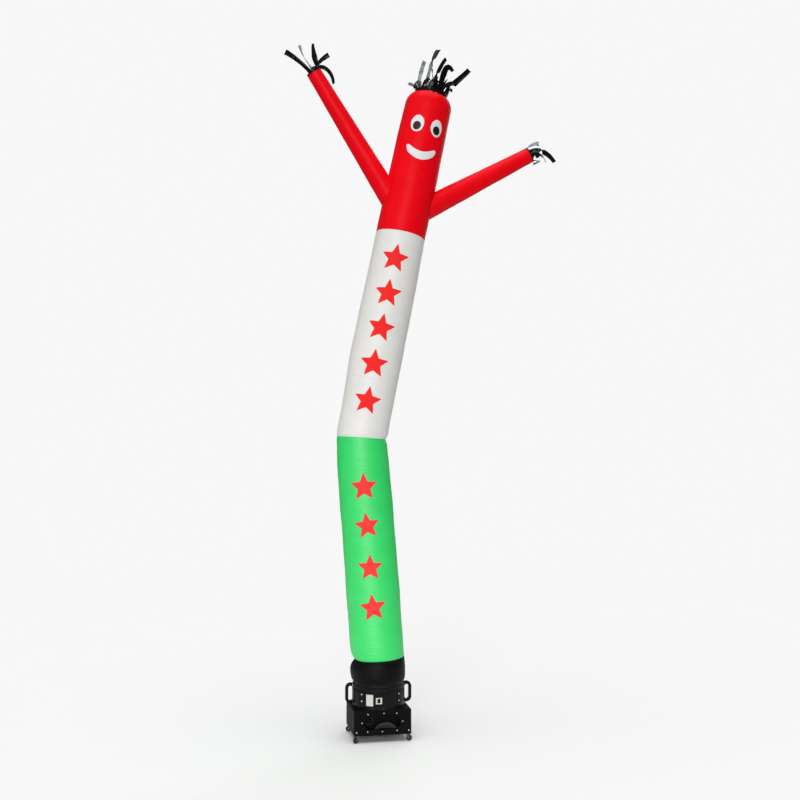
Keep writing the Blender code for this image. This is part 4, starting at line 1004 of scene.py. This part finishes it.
def film_fringe(name, middle, axis, radius, sides, table, mat, *stands_for):
    """The ribbons of one opening, with the tape that holds them."""
    side = Vector((axis.z, 0.0, -axis.x))
    bm = bmesh.new()
    bm.verts.layers.float.new("pale")
    tape = []
    for height, proud in TAPE_PROFILE:
        foot = middle + axis * (STRIP_HEIGHT * height)
        tape.append([bm.verts.new(foot + spoke(side, turn) * (radius + proud)) for turn in round_turns(TAPE_SIDES)])
    join_rings(bm, tape + tape[:1])
    for number, (turn, tip, bow, *widths, twist) in enumerate(table):
        facet = int(turn % 360 * sides / 360) + 0.5
        angle = 2 * math.pi * facet / sides
        out, across = spoke(side, angle), spoke(side, angle + math.pi / 2)
        seat = (radius - 0.001) * math.cos(math.pi / sides)
        start = middle + out * seat + axis * (STRIP_HEIGHT * 0.9)
        film_strand(bm, start, axis, across, middle + Vector(tip), Vector(bow), widths, twist, 1.7 * number,
                    PAINTED_REFLECTION.get(turn, 0.0), SWINGS.get(turn, (9.0, 0.0)))
    return dress(smoothed(name, bm, 50), mat, "ribbon", *stands_for)


film = film_ribbon("black film ribbon")
hair = film_fringe("hair_ribbons", VENT + head_axis * STRIP_GAP + place_of_blower, head_axis, VENT_RADIUS,
                   TUBE_SIDES, HAIR + SHORT_STRANDS, film, "hair")
for (side, root, end, radii, _), table in zip(ARMS, (FINGERS_LEFT, FINGERS_RIGHT)):
    axis = (end - root).normalized()
    film_fringe(f"hand_{side}_ribbons", end + axis * STRIP_GAP + place_of_blower, axis, radii[1],
                             HAND_SIDES, table, film, f"fingers_{side}")

# Camera, floor and lights: a plain pale floor, broad soft lamps from the front and above, and the camera
# where the photograph was taken from, a little to the blower's left and level with the green length's top.
CAMERA_TURN = math.radians(-11.5)
CAMERA_ACROSS, CAMERA_BACK, CAMERA_HEIGHT = 0.186, 9.0, 2.4
AIM_HEIGHT = 2.88
CAMERA_PITCH = math.atan((AIM_HEIGHT - CAMERA_HEIGHT) / CAMERA_BACK)
SENSOR = 36.0
PICTURE_FOCAL, PICTURE_WIDTH = 1034.5, 800
camera_data = bpy.data.cameras.new("camera")
camera_data.sensor_width = SENSOR
camera_data.lens = SENSOR * PICTURE_FOCAL / PICTURE_WIDTH
camera = placed("camera", camera_data)
camera.location = (
    BLOWER_X + CAMERA_ACROSS * math.cos(CAMERA_TURN) + CAMERA_BACK * math.sin(CAMERA_TURN),
    BLOWER_Y + CAMERA_ACROSS * math.sin(CAMERA_TURN) - CAMERA_BACK * math.cos(CAMERA_TURN),
    CAMERA_HEIGHT,
)
camera.rotation_euler = (math.pi / 2 + CAMERA_PITCH, 0.0, CAMERA_TURN)
bpy.context.scene.camera = camera

FLOOR_REACH, FLOOR_SHADE = 6.5, 0.955
floor_corners = [(x * FLOOR_REACH, y * FLOOR_REACH, 0.0) for x, y in ((-1, -1), (1, -1), (1, 1), (-1, 1))]
floor_mesh = bpy.data.meshes.new("floor")
floor_mesh.from_pydata(floor_corners, [], [(0, 1, 2, 3)])
floor_mat, _, _ = finish_of("pale floor", (FLOOR_SHADE,) * 3, 1.0, Specular_IOR_Level=0.0)
floor_mesh.materials.append(floor_mat)
placed("floor", floor_mesh)

# Broad lamps: turn from straight ahead of the camera (left is negative), elevation, brightness, softness.
LAMPS = (
    ("key lamp", -7.0, 9.0, 0.52, 32.0),
    ("side lamp", -62.0, 24.0, 0.10, 60.0),
    ("top lamp", 10.0, 80.0, 0.60, 60.0),
    ("back lamp", 165.0, 30.0, 0.20, 50.0),
)
SKY = 0.16
HORIZON_MATCH = 1.004
floor_light = SKY
for name, turn, elevation, bright, softness in LAMPS:
    data = bpy.data.lights.new(name, "SUN")
    data.energy = bright * math.pi
    data.angle = math.radians(softness)
    lamp = placed(name, data)
    around = CAMERA_TURN + math.radians(turn)
    flat = math.cos(math.radians(elevation))
    towards = Vector((math.sin(around) * flat, -math.cos(around) * flat, math.sin(math.radians(elevation))))
    lamp.rotation_euler = towards.to_track_quat("Z", "Y").to_euler()
    lamp.location = towards * CAMERA_BACK
    floor_light += bright * math.sin(math.radians(elevation))

world = bpy.data.worlds.new("studio")
bpy.context.scene.world = world
world.use_nodes = True
sky = world.node_tree
ambient = feed(sky, sky.nodes["Background"], Color=(1.0, 1.0, 1.0), Strength=SKY)
backdrop = add_node(sky, "ShaderNodeBackground", Color=(1.0, 1.0, 1.0),
                    Strength=FLOOR_SHADE * floor_light * HORIZON_MATCH)
either = add_node(sky, "ShaderNodeMixShader", Fac=add_node(sky, "ShaderNodeLightPath").outputs["Is Camera Ray"])
for socket, light in ((1, ambient), (2, backdrop)):
    sky.links.new(light.outputs["Background"], either.inputs[socket])
feed(sky, sky.nodes["World Output"], Surface=either.outputs["Shader"])
bpy.context.scene.view_settings.view_transform = "Standard"
